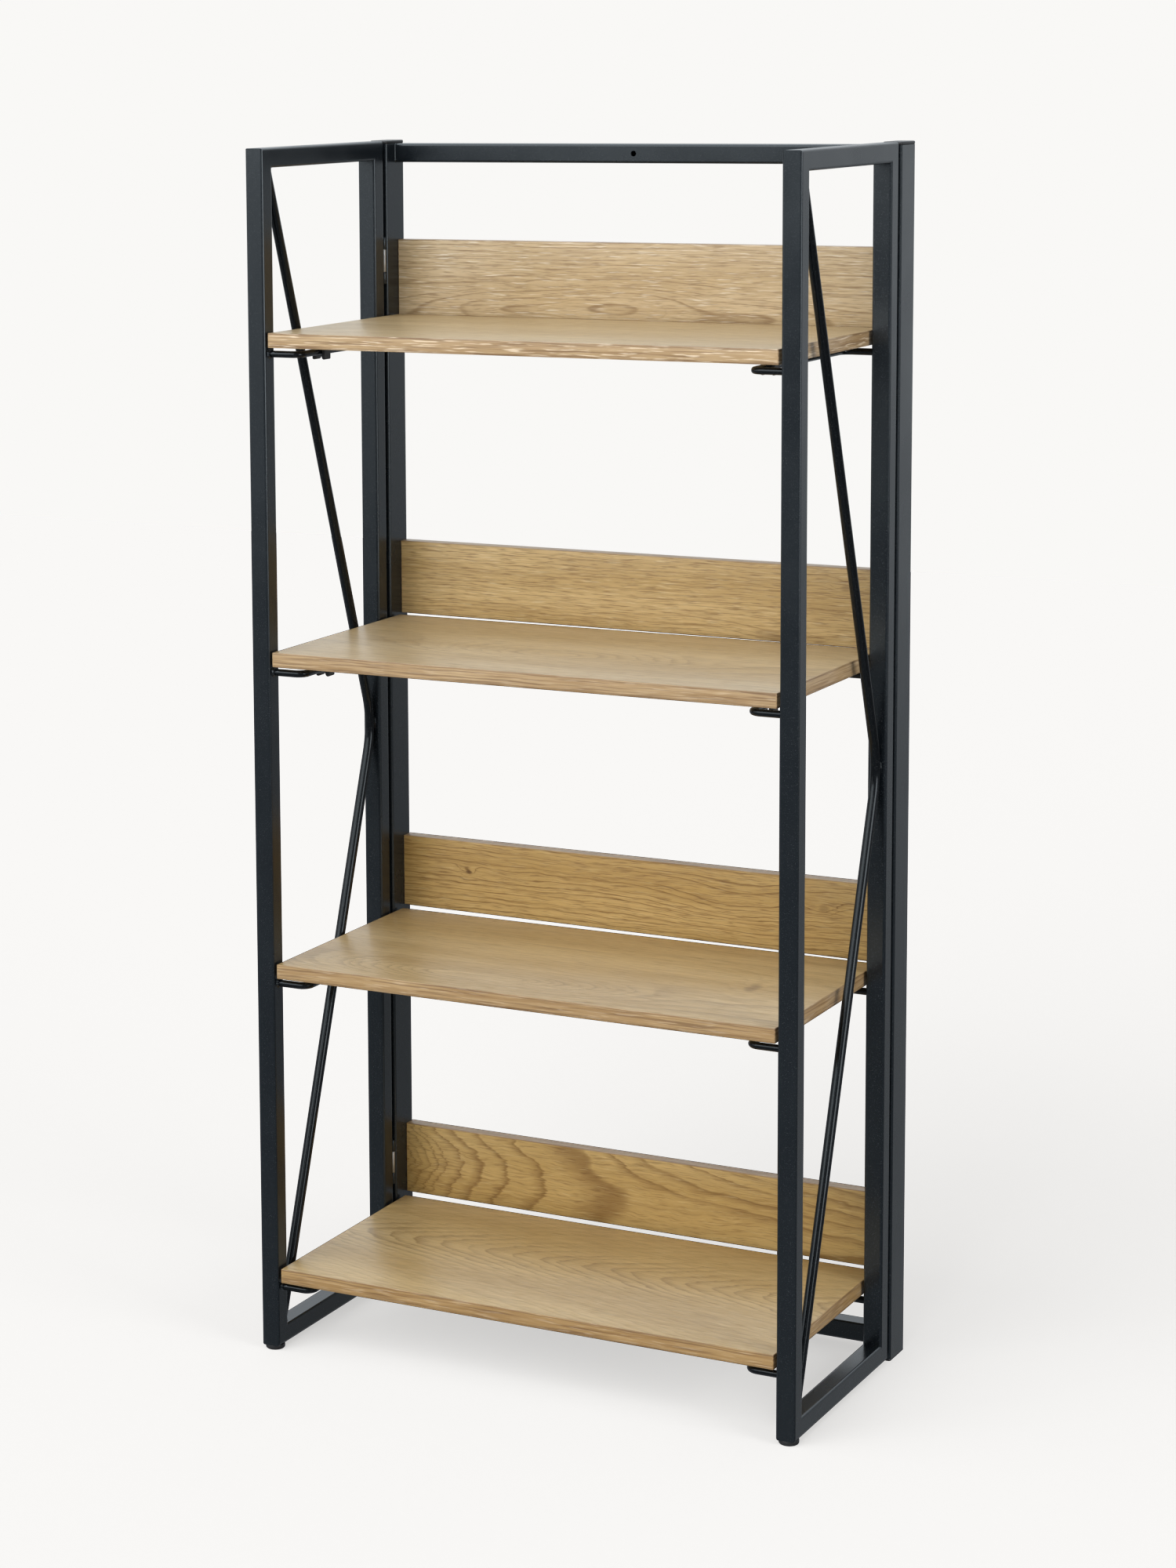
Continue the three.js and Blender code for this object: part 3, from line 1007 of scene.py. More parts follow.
@dataclass(frozen=True)
class OakFoil:
    """Oak-print foil of a board's faces."""

    light: tuple = srgb(208, 176, 124)
    mid: tuple = srgb(190, 156, 102)
    dark: tuple = srgb(124, 88, 44)
    pore: tuple = srgb(118, 84, 46)
    fleck: tuple = srgb(232, 210, 168)
    heart: tuple = srgb(92, 60, 34)
    roughness: float = 0.3
    dulling: float = 0.12
    relief: float = 0.00005
    tone_levels: tuple = (0.3, 0.7)
    fibre_share: float = 0.16
    ring_break: float = 0.35
    ring_relief: float = 0.3

    def material(self, name: str, figure: OakFigure, lay: Lay, centre: Array) -> Material:
        """Build one board's face material.

        Args:
            name: Name of the material.
            figure: The board's growth rings.
            lay: How the face lies.
            centre: Middle of the board, where the figure's own coordinates start.

        Returns:
            The material.
        """
        material, w, shader, place = new_material(name)
        turned = w.node("ShaderNodeMapping")
        w.put(turned.inputs["Vector"], place)
        x, y, z = (float(value) for value in centre)
        if lay is Lay.UPRIGHT:
            turned.inputs["Rotation"].default_value = (-math.pi / 2, 0.0, 0.0)
            turned.inputs["Location"].default_value = (-x, -z, y)
        else:
            turned.inputs["Location"].default_value = (-x, -y, -z)
        # The cast multiplies every foil colour: partly the board's own tone, partly painted light
        # that makes the higher boards paler.
        light, mid, dark, pore, fleck, heart = (
            tuple(float(value) for value in np.append(np.array(colour[:3]) * figure.cast, 1.0))
            for colour in (self.light, self.mid, self.dark, self.pore, self.fleck, self.heart)
        )
        wood = w.group(Grouped.FIGURE.tree, Place=turned.outputs[0], **figure.sockets()).outputs
        colour = w.tint(w.ease(wood["Tone"], *self.tone_levels), light, mid)
        breaks = w.scaled(wood["Pores"], self.ring_break, 1.0 - self.ring_break)
        broken = w.times(wood["Ring"], breaks)
        for marks, share, over in (
            (wood["Fibre"], self.fibre_share, dark),
            (broken, figure.ring_share, dark),
            (wood["Line"], figure.line_share, dark),
            (wood["Dashes"], figure.dash_share, dark),
            (wood["Pores"], figure.pore_share, pore),
            (wood["Flecks"], figure.fleck_share, fleck),
        ):
            colour = w.tint(w.times(marks, share), colour, over)
        w.put(shader.inputs["Base Color"], w.tint(wood["Core"], colour, heart))
        w.put(shader.inputs["Roughness"], w.scaled(wood["Pores"], self.dulling, self.roughness))
        sunk = w.scaled(wood["Ring"], self.ring_relief, wood["Pores"])
        w.bump(shader, w.less(1.0, sunk), self.relief)
        return material


@dataclass(frozen=True)
class EdgeBand:
    """Oak-print band on a board's edges: straight brown lines and pale dashes along it.

    The streaks are (shift, features per metre along, features across, low, high). Levels are
    the inputs of an ease in order: from, to, and what it gives at each. Two of them, over the
    depth below the shelf's top, make the rise and the fall of a thin line.
    """

    light: tuple = srgb(192, 165, 126)
    mid: tuple = srgb(163, 133, 94)
    # Darker, browner colours for the lower boards' bands: painted light falloff by height.
    shaded_low_light: tuple = srgb(180, 148, 99)
    shaded_low_mid: tuple = srgb(152, 118, 72)
    line: tuple = srgb(104, 74, 46)
    pale: tuple = srgb(240, 221, 192)
    roughness: float = 0.34
    dulling: float = 0.1
    relief: float = 0.00005
    lowest_top: float = 0.090
    spacing: float = 0.328
    lift: float = 0.0022
    noise_across: float = 60.0
    long_noise: float = 20.0
    short_noise: float = 8.0
    shade_streaks: tuple = (ORIGIN, 11.0, 330.0, 0.35, 0.65)
    brown_streaks: tuple = ((0.3, 0.9, 0.2), 13.0, 560.0, 0.5, 0.64)
    pale_streaks: tuple = ((1.3, 2.9, 1.2), 32.0, 640.0, 0.54, 0.66)
    patch_levels: tuple = (0.35, 0.65)
    # Heights over which the painted light falloff blends the band's colours.
    painted_light_levels: tuple = (0.1, 0.75)
    crest_levels: tuple = (0.85, 1.0, 0.3, 1.0)
    under_depths: tuple = ((0.0004, 0.0009), (0.0013, 0.0019, 1.0, 0.0))
    foot_depths: tuple = ((0.0124, 0.0132), (0.0142, 0.0150, 1.0, 0.2))
    patch_share: float = 0.35
    brown_share: float = 0.55
    pale_share: float = 0.75
    under_share: float = 0.5
    foot_share: float = 0.3

    def material(self, name: str, along: int) -> Material:
        """Build the band's material.

        The depth below a shelf's top is (lowest top - z) modulo the shelves' spacing, so one
        formula places the thin brown lines under the top edge and at the foot of all four.
        The height also makes the lower boards' bands darker and browner, as painted light falling
        off from the top board down, and their pale dashes plainer than the top one's.

        Args:
            name: Name of the material.
            along: Number of the axis that its lines run along.

        Returns:
            The material.
        """
        material, w, shader, place = new_material(name)

        def stretched(run: float, rise: float, axis: int) -> tuple:
            """Give a stretch of one number on an axis and another on the other two."""
            return tuple(run if number == axis else rise for number in range(3))

        def streaks(shift: tuple, run: float, rise: float, low: float, high: float) -> Socket:
            """Read streaks that run along the band at a shifted place."""
            return w.streaks(w.vector("ADD", bent, shift), stretched(run, rise, along), low, high)

        long_wave = stretched(self.noise_across, self.long_noise, 1 - along)
        short_wave = stretched(self.noise_across, self.short_noise, 1 - along)
        swing = w.times(w.less(w.noise(place, long_wave, 2.0), 0.5), self.lift)
        bent = w.vector("ADD", place, w.combine(0.0, 0.0, swing))
        level = w.split(bent)[2]
        depth = w.math("FLOORED_MODULO", w.less(self.lowest_top, level), self.spacing)
        # Height ramp for painted light: the lower boards' bands come out darker and browner.
        upper = w.ease(level, *self.painted_light_levels)
        crest = w.ease(level, *self.crest_levels)
        under, foot = (
            w.times(w.ease(depth, *rise), w.ease(depth, *fall))
            for rise, fall in (self.under_depths, self.foot_depths)
        )
        patches = w.ease(w.noise(place, short_wave, 2.0), *self.patch_levels)
        lines = w.times(streaks(*self.shade_streaks), 1.0 - self.patch_share)
        brown, dash = streaks(*self.brown_streaks), streaks(*self.pale_streaks)
        light = w.tint(upper, self.shaded_low_light, self.light)
        mid = w.tint(upper, self.shaded_low_mid, self.mid)
        colour = w.tint(w.scaled(patches, self.patch_share, lines), light, mid)
        for marks, share, over in (
            (brown, self.brown_share, self.line),
            (w.times(dash, crest), self.pale_share, self.pale),
            (under, self.under_share, self.line),
            (foot, self.foot_share, self.line),
        ):
            colour = w.tint(w.times(marks, share), colour, over)
        w.put(shader.inputs["Base Color"], colour)
        w.put(shader.inputs["Roughness"], w.scaled(brown, self.dulling, self.roughness))
        w.bump(shader, w.less(1.0, brown), self.relief)
        return material


@dataclass
class Finishes:
    """The shared materials of the bookcase, each built once."""

    coat: Material = field(init=False)
    gloss: Material = field(init=False)
    plastic: Material = field(init=False)
    zinc: Material = field(init=False)
    band_long: Material = field(init=False)
    band_end: Material = field(init=False)

    def __post_init__(self) -> None:
        """Build every shared material."""
        glossy = PowderCoat(srgb(9, 11, 14), srgb(15, 17, 21), roughness=0.08, level=0.29)
        self.coat = PowderCoat().material("charcoal_powder_coat")
        self.gloss = glossy.material("black_rod_coat")
        self.plastic = BlackPlastic().material("moulded_black_plastic")
        self.zinc = ZincSteel().material("plated_steel")
        self.band_long = EdgeBand().material("oak_edge_band_long", 0)
        self.band_end = EdgeBand().material("oak_edge_band_end", 1)


def settle(piece: Piece, body: str, slot: Slot, *nodes: str) -> None:
    """Tie a piece to its body, hide the CAD nodes that it stands for and log its faces.

    Args:
        piece: The new piece.
        body: CAD body that it rides on.
        slot: Finish in the record; not used.
        *nodes: CAD nodes that it replaces.
    """
    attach(piece, body)
    if nodes:
        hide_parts(*nodes)
    log.info("%s rides on %s, %d faces", piece.name, body, len(piece.data.polygons))


def dress(names: list[str], material: Material) -> None:
    """Give CAD nodes that stay a new material.

    Args:
        names: Names of the nodes.
        material: The material.
    """
    for name in names:
        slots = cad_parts[name].data.materials
        slots.clear()
        slots.append(material)
        log.info("%s keeps its solid, in %s", name, material.name)


# Sub-assemblies


class Zone(Enum):
    """The finishes on one board, in the order of its materials."""

    FACE = 0
    LONG_EDGE = 1
    END_EDGE = 2


@dataclass
class OakBoards:
    """The four shelves and the four strips behind them.

    The tables run from the top board down. A strip's drops say how far its lower edge hangs
    below its node at the left and at the right end.
    """

    finishes: Finishes
    foil: OakFoil = OakFoil()
    edge_radius: float = 0.0008
    crease: float = 60.0
    steps: int = 4
    strip_drops: tuple = ((0.001, 0.001), (-0.0006, 0.002), (-0.0018, 0.0014), (-0.0014, 0.0004))
    # Each figure's cast is partly its board's own tone and partly painted light, fitted per board:
    # higher boards mostly paler, lower ones browner.
    shelf_figures: tuple[OakFigure, ...] = (
        OakFigure(
            cast=(1.12, 1.24, 1.49), slope=60, wave=0.005, seed=(0.3, 0.1, 0.2),
            ring_share=0.2, line_share=0.1, pore_share=0.3, dash_share=0.2,
            knots=(((0.1, 0.045, 0.35), (45.0, 110.0, 1.2)),),
        ),
        OakFigure(
            cast=(1.165, 1.33, 1.68), slope=28, tip=(0.0, -0.026, 0.01), fade=0.03,
            wave=0.006, drift=0.014, feather=0.005, seed=(1.3, 0.6, 0.8), start=0.3,
            ring_share=0.42, line_share=0.2, pore_share=0.3,
            knots=(
                ((-0.007, -0.026, 0.0), (8.0, 22.0, 9.0)),
                ((-0.118, 0.109, 0.5), (90.0, 180.0, 1.0)),
                ((0.13, 0.07, 0.0), (14.0, 60.0, 4.0)),
            ),
        ),
        OakFigure(
            cast=(1.055, 1.13, 1.2), slope=34, tip=(0.0, -0.088, 0.01), fade=0.035,
            wave=0.005, drift=0.012, feather=0.005, seed=(2.1, 0.4, 1.6), start=0.3,
            ring_share=0.45, line_share=0.25, pore_share=0.3,
            knots=(
                ((-0.02, -0.082, 0.0), (9.0, 30.0, 8.0)),
                ((0.2, -0.006, 0.5), (45.0, 20.0, 1.5)),
                ((-0.13, -0.098, 0.0), (9.0, 24.0, 8.0)),
            ),
        ),
        OakFigure(
            cast=(1.05, 1.115, 1.12), slope=0, tip=(0.0, 0.012, 0.014), count=-36, arms=-2.6,
            lean=0.5, fade=0.045, wave=0.006, drift=0.014, feather=0.004, uneven=0.35,
            seed=(3.7, 0.9, 2.3), start=0.3, ring_share=0.58, line_share=0.3, pore_share=0.25,
        ),
    )
    strip_figures: tuple[OakFigure, ...] = (
        OakFigure(
            cast=(1.1, 1.27, 1.74), slope=110, bow=1100, wave=0.0025, drift=0.008,
            feather=0.005, seed=(4.3, 0.2, 0.7), start=0.7, ring_share=0.3, line_share=0.5,
            pore_share=0.5, dash_share=0.45, fleck_share=0.6,
            knots=(
                ((-0.019, -0.026, 0.0), (11.0, 42.0, -4.2)),
                ((-0.16, -0.03, 0.0), (13.0, 50.0, -2.4)),
                ((0.14, -0.034, 0.0), (16.0, 60.0, -1.6)),
            ),
        ),
        OakFigure(
            cast=(1.09, 1.17, 1.22), slope=200, wave=0.003, seed=(5.9, 0.8, 1.1), start=0.6,
            ring_share=0.25, line_share=0.42, pore_share=0.6, dash_share=0.4, fleck_share=0.4,
            knots=(
                ((0.155, -0.036, 0.3), (20.0, 60.0, 2.0)),
                ((0.235, 0.019, 0.35), (60.0, 90.0, 1.6)),
            ),
        ),
        OakFigure(
            cast=(1.04, 1.055, 0.915), slope=150, wave=0.005, drift=0.008,
            seed=(6.1, 0.5, 1.9), start=0.6, ring_share=0.4, line_share=0.75, pore_share=0.55,
            knots=(
                ((-0.2, 0.006, 0.9), (90.0, 140.0, 1.6)),
                ((0.12, 0.004, 0.0), (11.0, 44.0, 2.4)),
                ((0.2125, 0.0075, 0.35), (60.0, 100.0, 1.4)),
            ),
        ),
        OakFigure(
            cast=(1.06, 1.09, 0.945), slope=6, tip=(-0.262, -0.002, 0.008), count=110,
            reach=0.106, arms=1.0, grow=32.0, lean=-0.12, wave=0.009, drift=0.014,
            feather=0.006, uneven=0.3, seed=(7.7, 0.3, 2.9), start=0.44, ring_share=0.66,
            line_share=0.45, pore_share=0.4,
        ),
    )

    def skin(self, low: Array, high: Array) -> Skin:
        """Make a board with rounded edges and a zone for each of its finishes.

        Args:
            low: Lowest corner.
            high: Highest corner.

        Returns:
            The board's skin.
        """
        places = 4 * (self.steps + 1)
        flats = np.arange(self.steps, places, self.steps + 1)
        _, depth, height = high - low
        kinds = np.full(places, Zone.LONG_EDGE.value)
        kinds[flats[0 if depth <= height else 1::2]] = Zone.FACE.value
        points = rounded_block(low, high, self.edge_radius, 0, self.steps)
        skin = grid_skin(points, kinds, Zone.END_EDGE.value)
        rows = skin.quad_slots.reshape(-1, places)
        rows[:self.steps] = rows[-self.steps:] = Zone.END_EDGE.value
        return skin

    def board(
        self, node: str, name: str, body: str, figure: OakFigure, lay: Lay,
        drops: tuple = (0.0, 0.0),
    ) -> None:
        """Build one board in the place of its CAD node.

        Args:
            node: CAD node that it replaces.
            name: Name of the piece.
            body: CAD body that it rides on.
            figure: Its growth rings.
            lay: How its face lies.
            drops: How far its lower edge hangs below its node at the left and the right end.
        """
        low, high = corners(node)
        middle = (low + high) / 2
        face = self.foil.material(f"oak_face_{name}", figure, lay, middle)
        skin = self.skin(low, high)
        share = (skin.points[:, 0] - low[0]) / (high[0] - low[0])
        hang = drops[0] + (drops[1] - drops[0]) * share
        skin.points[:, 2] -= np.where(skin.points[:, 2] < middle[2], hang, 0.0)
        bands = (self.finishes.band_long, self.finishes.band_end)
        settle(make_piece(name, skin, face, *bands, crease=self.crease), body, Slot.OAK, node)

    def build(self) -> None:
        """Build all eight boards."""
        for n, shelf, strip, drops in zip(
            SHELF_NUMBERS, self.shelf_figures, self.strip_figures, self.strip_drops
        ):
            self.board(f"shelf_{n}_board", f"oak_shelf_{n}", f"shelf_{n}", shelf, Lay.FLAT)
            self.board(f"back_strip_{n}", f"oak_strip_{n}", "frame", strip, Lay.UPRIGHT, drops)


@dataclass
class SteelTubes:
    """Posts and rails, which keep their solids, with the welds and the caps of the back frame.

    A cap's insets, in shares of its swell, belong to its heights, in shares of its flange.
    """

    finishes: Finishes
    side_parts: tuple = ("front_post", "rear_post", "bottom_rail", "top_rail")
    cap_heights: tuple = (0.0, 0.06, 0.2, 0.4, 0.6, 0.75, 0.88, 0.96, 1.0)
    cap_insets: tuple = (1.0, 0.55, 0.12, 0.0, 0.0, 0.1, 0.45, 0.95, 1.8)
    cap_swell: float = 0.0007
    cap_corner: float = 0.0022
    neck_inset: float = 0.0019
    neck_edge: float = 0.0006
    rail_corner: float = 0.0025
    weld_reach: float = 0.0008
    weld_waves: tuple = (23, 31, 7)
    weld_phase: float = 0.7
    weld_clear: float = 0.0001

    def cap(self, side: str, kind: str, upward: bool) -> None:
        """Build the swelling flange of a cap or a plug, with the neck that fills the post.

        The flange is a stack of rounded rectangles whose inset over its height is a half wave.

        Args:
            side: Left or right.
            kind: Cap or plug.
            upward: True where the flange is above the post's end.
        """
        low, high = corners(f"post_{kind}_{side}")
        post_low, post_high = corners(f"back_post_{side}")
        seat, tip = (post_high[2], high[2]) if upward else (post_low[2], low[2])
        size, middle = high - low, (high + low) / 2
        share, inset = np.array(self.cap_heights), self.cap_swell * np.array(self.cap_insets)
        width, depth = size[0] - 2 * inset, size[1] - 2 * inset
        outline = rounded_outline(width, depth, self.cap_corner - inset / 2, 6)
        points = np.zeros((*outline.shape[:2], 3))
        points[..., :2] = outline + middle[:2]
        points[..., 2] = (seat + (tip - seat) * share)[:, None]
        margin = np.array([self.neck_inset, self.neck_inset, 0.0])
        neck_low, neck_high = low + margin, high - margin
        neck_low[2], neck_high[2] = (low[2], seat) if upward else (seat, high[2])
        neck = rounded_block(neck_low, neck_high, self.neck_edge, 2, 3)
        skin = joined([grid_skin(points), grid_skin(neck)])
        piece = make_piece(f"end_{kind}_{side}", skin, self.finishes.plastic, crease=40.0)
        settle(piece, "frame", Slot.PLASTIC, f"post_{kind}_{side}")

    def rail_welds(self) -> None:
        """Lay a bead round both ends of both back rails, where they meet the posts."""
        skins = []
        for number, rail in enumerate(("back_top_rail", "back_bottom_rail")):
            low, high = corners(rail)
            _, width, height = high - low
            _, y, z = (low + high) / 2
            places, ways = self.spread(rounded_outline(width, height, self.rail_corner, 6))
            angle = TURN * np.arange(len(places)) / len(places)
            for (_, side), end in zip(SIDES, (low[0], high[0])):
                wave = ripple(angle, self.weld_waves, self.weld_phase + side + number)
                reach = self.weld_reach * wave
                plane = np.array([[0, 0, -side, end], [1, 0, 0, y], [0, 1, 0, z]])
                points = weld_ring(places, ways, reach, reach[::-1], plane)
                points[..., 1] = np.minimum(points[..., 1], high[1] - self.weld_clear)
                if rail == "back_top_rail":
                    points[..., 2] = np.minimum(points[..., 2], high[2] - self.weld_clear)
                skins.append(grid_skin(points, ring=True))
        piece = make_piece("back_frame_welds", joined(skins), self.finishes.coat, crease=80.0)
        settle(piece, "frame", Slot.COAT)

    @staticmethod
    def spread(outline: Array, count: int = 96) -> tuple[Array, Array]:
        """Place points evenly along a closed outline.

        Args:
            outline: Array of points x 2.
            count: Number of even points.

        Returns:
            Even points and the unit vectors that point away from the outline's middle.
        """
        closed = np.vstack([outline, outline[:1]])
        steps = np.linalg.norm(np.diff(closed, axis=0), axis=1)
        reach = np.concatenate([[0.0], np.cumsum(steps)])
        even = np.linspace(0, reach[-1], count + 1)[:-1]
        dense = np.stack([np.interp(even, reach, column) for column in closed.T], -1)
        ahead = np.roll(dense, -1, 0) - np.roll(dense, 1, 0)
        normals = np.stack([ahead[:, 1], -ahead[:, 0]], -1)
        return dense, normals / np.linalg.norm(normals, axis=1, keepdims=True)

    def build(self) -> None:
        """Coat the tubes and build caps, plugs and welds."""
        tubes = ["back_post_left", "back_post_right", "back_top_rail", "back_bottom_rail"]
        tubes += [f"{side}_{part}" for side, _ in SIDES for part in self.side_parts]
        dress(tubes, self.finishes.coat)
        for side, _ in SIDES:
            self.cap(side, "cap", True)
            self.cap(side, "plug", False)
        self.rail_welds()


@dataclass
class BentRods:
    """Side braces, shelf supports and the welds that hold them."""

    finishes: Finishes
    sides: int = 32
    tube: float = 0.020
    corner_inset: float = 0.024
    brace_radius: float = 0.005
    brace_bend: float = 0.090
    brace_steps: int = 28
    brace_sunk: float = 0.004
    brace_bead: float = 0.0016
    brace_phase: float = 1.3
    seat_gap: float = 0.0003
    support_bend: float = 0.010
    support_steps: int = 14
    support_bead: float = 0.0017
    support_phases: tuple = (2.3, 1.1)
    bead_places: int = 40
    bead_waves: tuple = (5, 9, 13)
    bead_rise: float = 0.9
    bead_lag: int = 9
    tack_radius: float = 0.0017
    tack_length: float = 0.013
    tack_lump: float = 0.12
    tack_waves: float = 2.5
    tack_core: float = 0.00001
    tack_beside: float = 0.0038
    tack_sunk: float = 0.0007

    def brace(self, side: str) -> None:
        """Build one side's brace: two straight legs that meet in a wide bend at mid height.

        Seen from the side, the bend's centre stands one bend radius in front of the rod's
        rearmost line. A leg leans by atan(dy / dz) + asin(R / |(dy, dz)|), with dy and dz the
        way from its lower end to that centre.

        Args:
            side: Left or right.
        """
        front, _ = corners(f"{side}_front_post")
        rear, rear_high = corners(f"{side}_rear_post")
        low, high = corners(f"{side}_brace")
        x = (low[0] + high[0]) / 2
        bottom, top = front[2], rear_high[2]
        middle = (bottom + top) / 2
        y, z = front[1] + self.corner_inset, bottom + self.tube
        centre_y = rear[1] - self.seat_gap - self.brace_radius - self.brace_bend
        dy, dz = centre_y - y, middle - z
        lean = math.atan2(dy, dz) + math.asin(self.brace_bend / math.hypot(dy, dz))
        apex = y + dz * math.tan(lean)
        foot_y = y - self.brace_sunk * math.sin(lean)
        foot_z = z - self.brace_sunk * math.cos(lean)
        head_z = bottom + top - foot_z
        stations = np.array([[x, foot_y, foot_z], [x, apex, middle], [x, foot_y, head_z]])
        path = bent_path(stations, self.brace_bend, self.brace_steps)
        skins = [grid_skin(rod(path, np.array([1.0, 0.0, 0.0]), self.brace_radius, self.sides))]
        for level, up in ((z, 1.0), (top - self.tube, -1.0)):
            foot, way = np.array([x, y, level]), np.array([0.0, 0.0, up])
            phase = self.brace_phase * up
            skins.append(self.collar(foot, self.brace_radius, way, phase, self.brace_bead))
        for beside in (-self.tack_beside, self.tack_beside):
            skins.append(self.tack(np.array([x + beside, rear[1] - self.tack_sunk, middle])))
        piece = make_piece(f"brace_rod_{side}", joined(skins), self.finishes.gloss, crease=60.0)
        settle(piece, "frame", Slot.COAT, f"{side}_brace")

    def support_line(self, side: str, inward: float, number: int) -> tuple[Array, float]:
        """Read the bent rod under one shelf end, from the front post round to the rear post.

        Args:
            side: Left or right.
            inward: 1 where the rod turns towards +X, -1 where it turns towards -X.
            number: Shelf number.

        Returns:
            The four corners of its middle line and its radius.
        """
        low, high = corners(f"{side}_support_rod_{number}")
        radius, z = (high[2] - low[2]) / 2, (high[2] + low[2]) / 2
        wall, far = (low[0], high[0]) if inward > 0 else (high[0], low[0])
        run, front, rear = far - inward * radius, low[1] + radius, high[1] - radius
        stations = [[wall, front, z], [run, front, z], [run, rear, z], [wall, rear, z]]
        return np.array(stations), radius

    def support(self, side: str, inward: float, number: int) -> None:
        """Build the bent rod under one shelf end.

        Args:
            side: Left or right.
            inward: Direction of X away from the posts.
            number: Shelf number.
        """
        stations, radius = self.support_line(side, inward, number)
        path = bent_path(stations, self.support_bend, self.support_steps)
        skin = grid_skin(rod(path, np.array(UPWARD), radius, self.sides))
        piece = make_piece(f"support_bar_{side}_{number}", skin, self.finishes.gloss)
        settle(piece, "frame", Slot.COAT, f"{side}_support_rod_{number}")

    def tack(self, centre: Array) -> Skin:
        """Lay a short upright tack weld: a lumpy spindle whose radius is the root of a half wave.

        Args:
            centre: Its middle.

        Returns:
            The weld's skin.
        """
        share = np.linspace(0.0, 1.0, 15)
        lumps = 1.0 + self.tack_lump * np.sin(TURN * self.tack_waves * share)
        radius = self.tack_core + self.tack_radius * np.sqrt(np.sin(np.pi * share)) * lumps
        profile = np.stack([radius, self.tack_length * (share - 0.5)], -1)
        return grid_skin(lathe(profile, centre, 20))

    def collar(
        self, centre: Array, radius: float, direction: Array, phase: float, reach: float
    ) -> Skin:
        """Lay a weld bead round a rod that stands on a flat face.

        Args:
            centre: Where the rod's middle line meets the face.
            radius: Radius of the rod.
            direction: Unit vector from the face along the rod, upright or level.
            phase: Start of the ripple.
            reach: How far the bead spreads.

        Returns:
            The bead's skin.
        """
        angle = TURN * np.arange(self.bead_places) / self.bead_places
        circle = np.stack([np.cos(angle), np.sin(angle)], -1)
        side = np.array([1.0, 0.0, 0.0]) if direction[2] else np.cross(direction, UPWARD)
        place = np.stack([side, np.cross(direction, side), direction, centre], -1)
        spread = reach * ripple(angle, self.bead_waves, phase)
        rise = self.bead_rise * np.roll(spread, self.bead_lag)
        return grid_skin(weld_ring(circle * radius, circle, spread, rise, place), ring=True)

    def welds(self, side: str, inward: float) -> None:
        """Build the beads at both ends of one side's support rods.

        Args:
            side: Left or right.
            inward: Direction of X away from the posts.
        """
        skins, way = [], np.array([inward, 0.0, 0.0])
        by_shelf, by_end = self.support_phases
        for number in SHELF_NUMBERS:
            stations, radius = self.support_line(side, inward, number)
            for index, foot in enumerate(stations[[0, -1]]):
                phase = number * by_shelf + index * by_end + inward
                skins.append(self.collar(foot, radius, way, phase, self.support_bead))
        piece = make_piece(f"support_welds_{side}", joined(skins), self.finishes.coat, crease=80.0)
        settle(piece, "frame", Slot.COAT)

    def build(self) -> None:
        """Build both sides' rods and welds."""
        for side, sign in SIDES:
            self.brace(side)
            for number in SHELF_NUMBERS:
                self.support(side, -sign, number)
            self.welds(side, -sign)


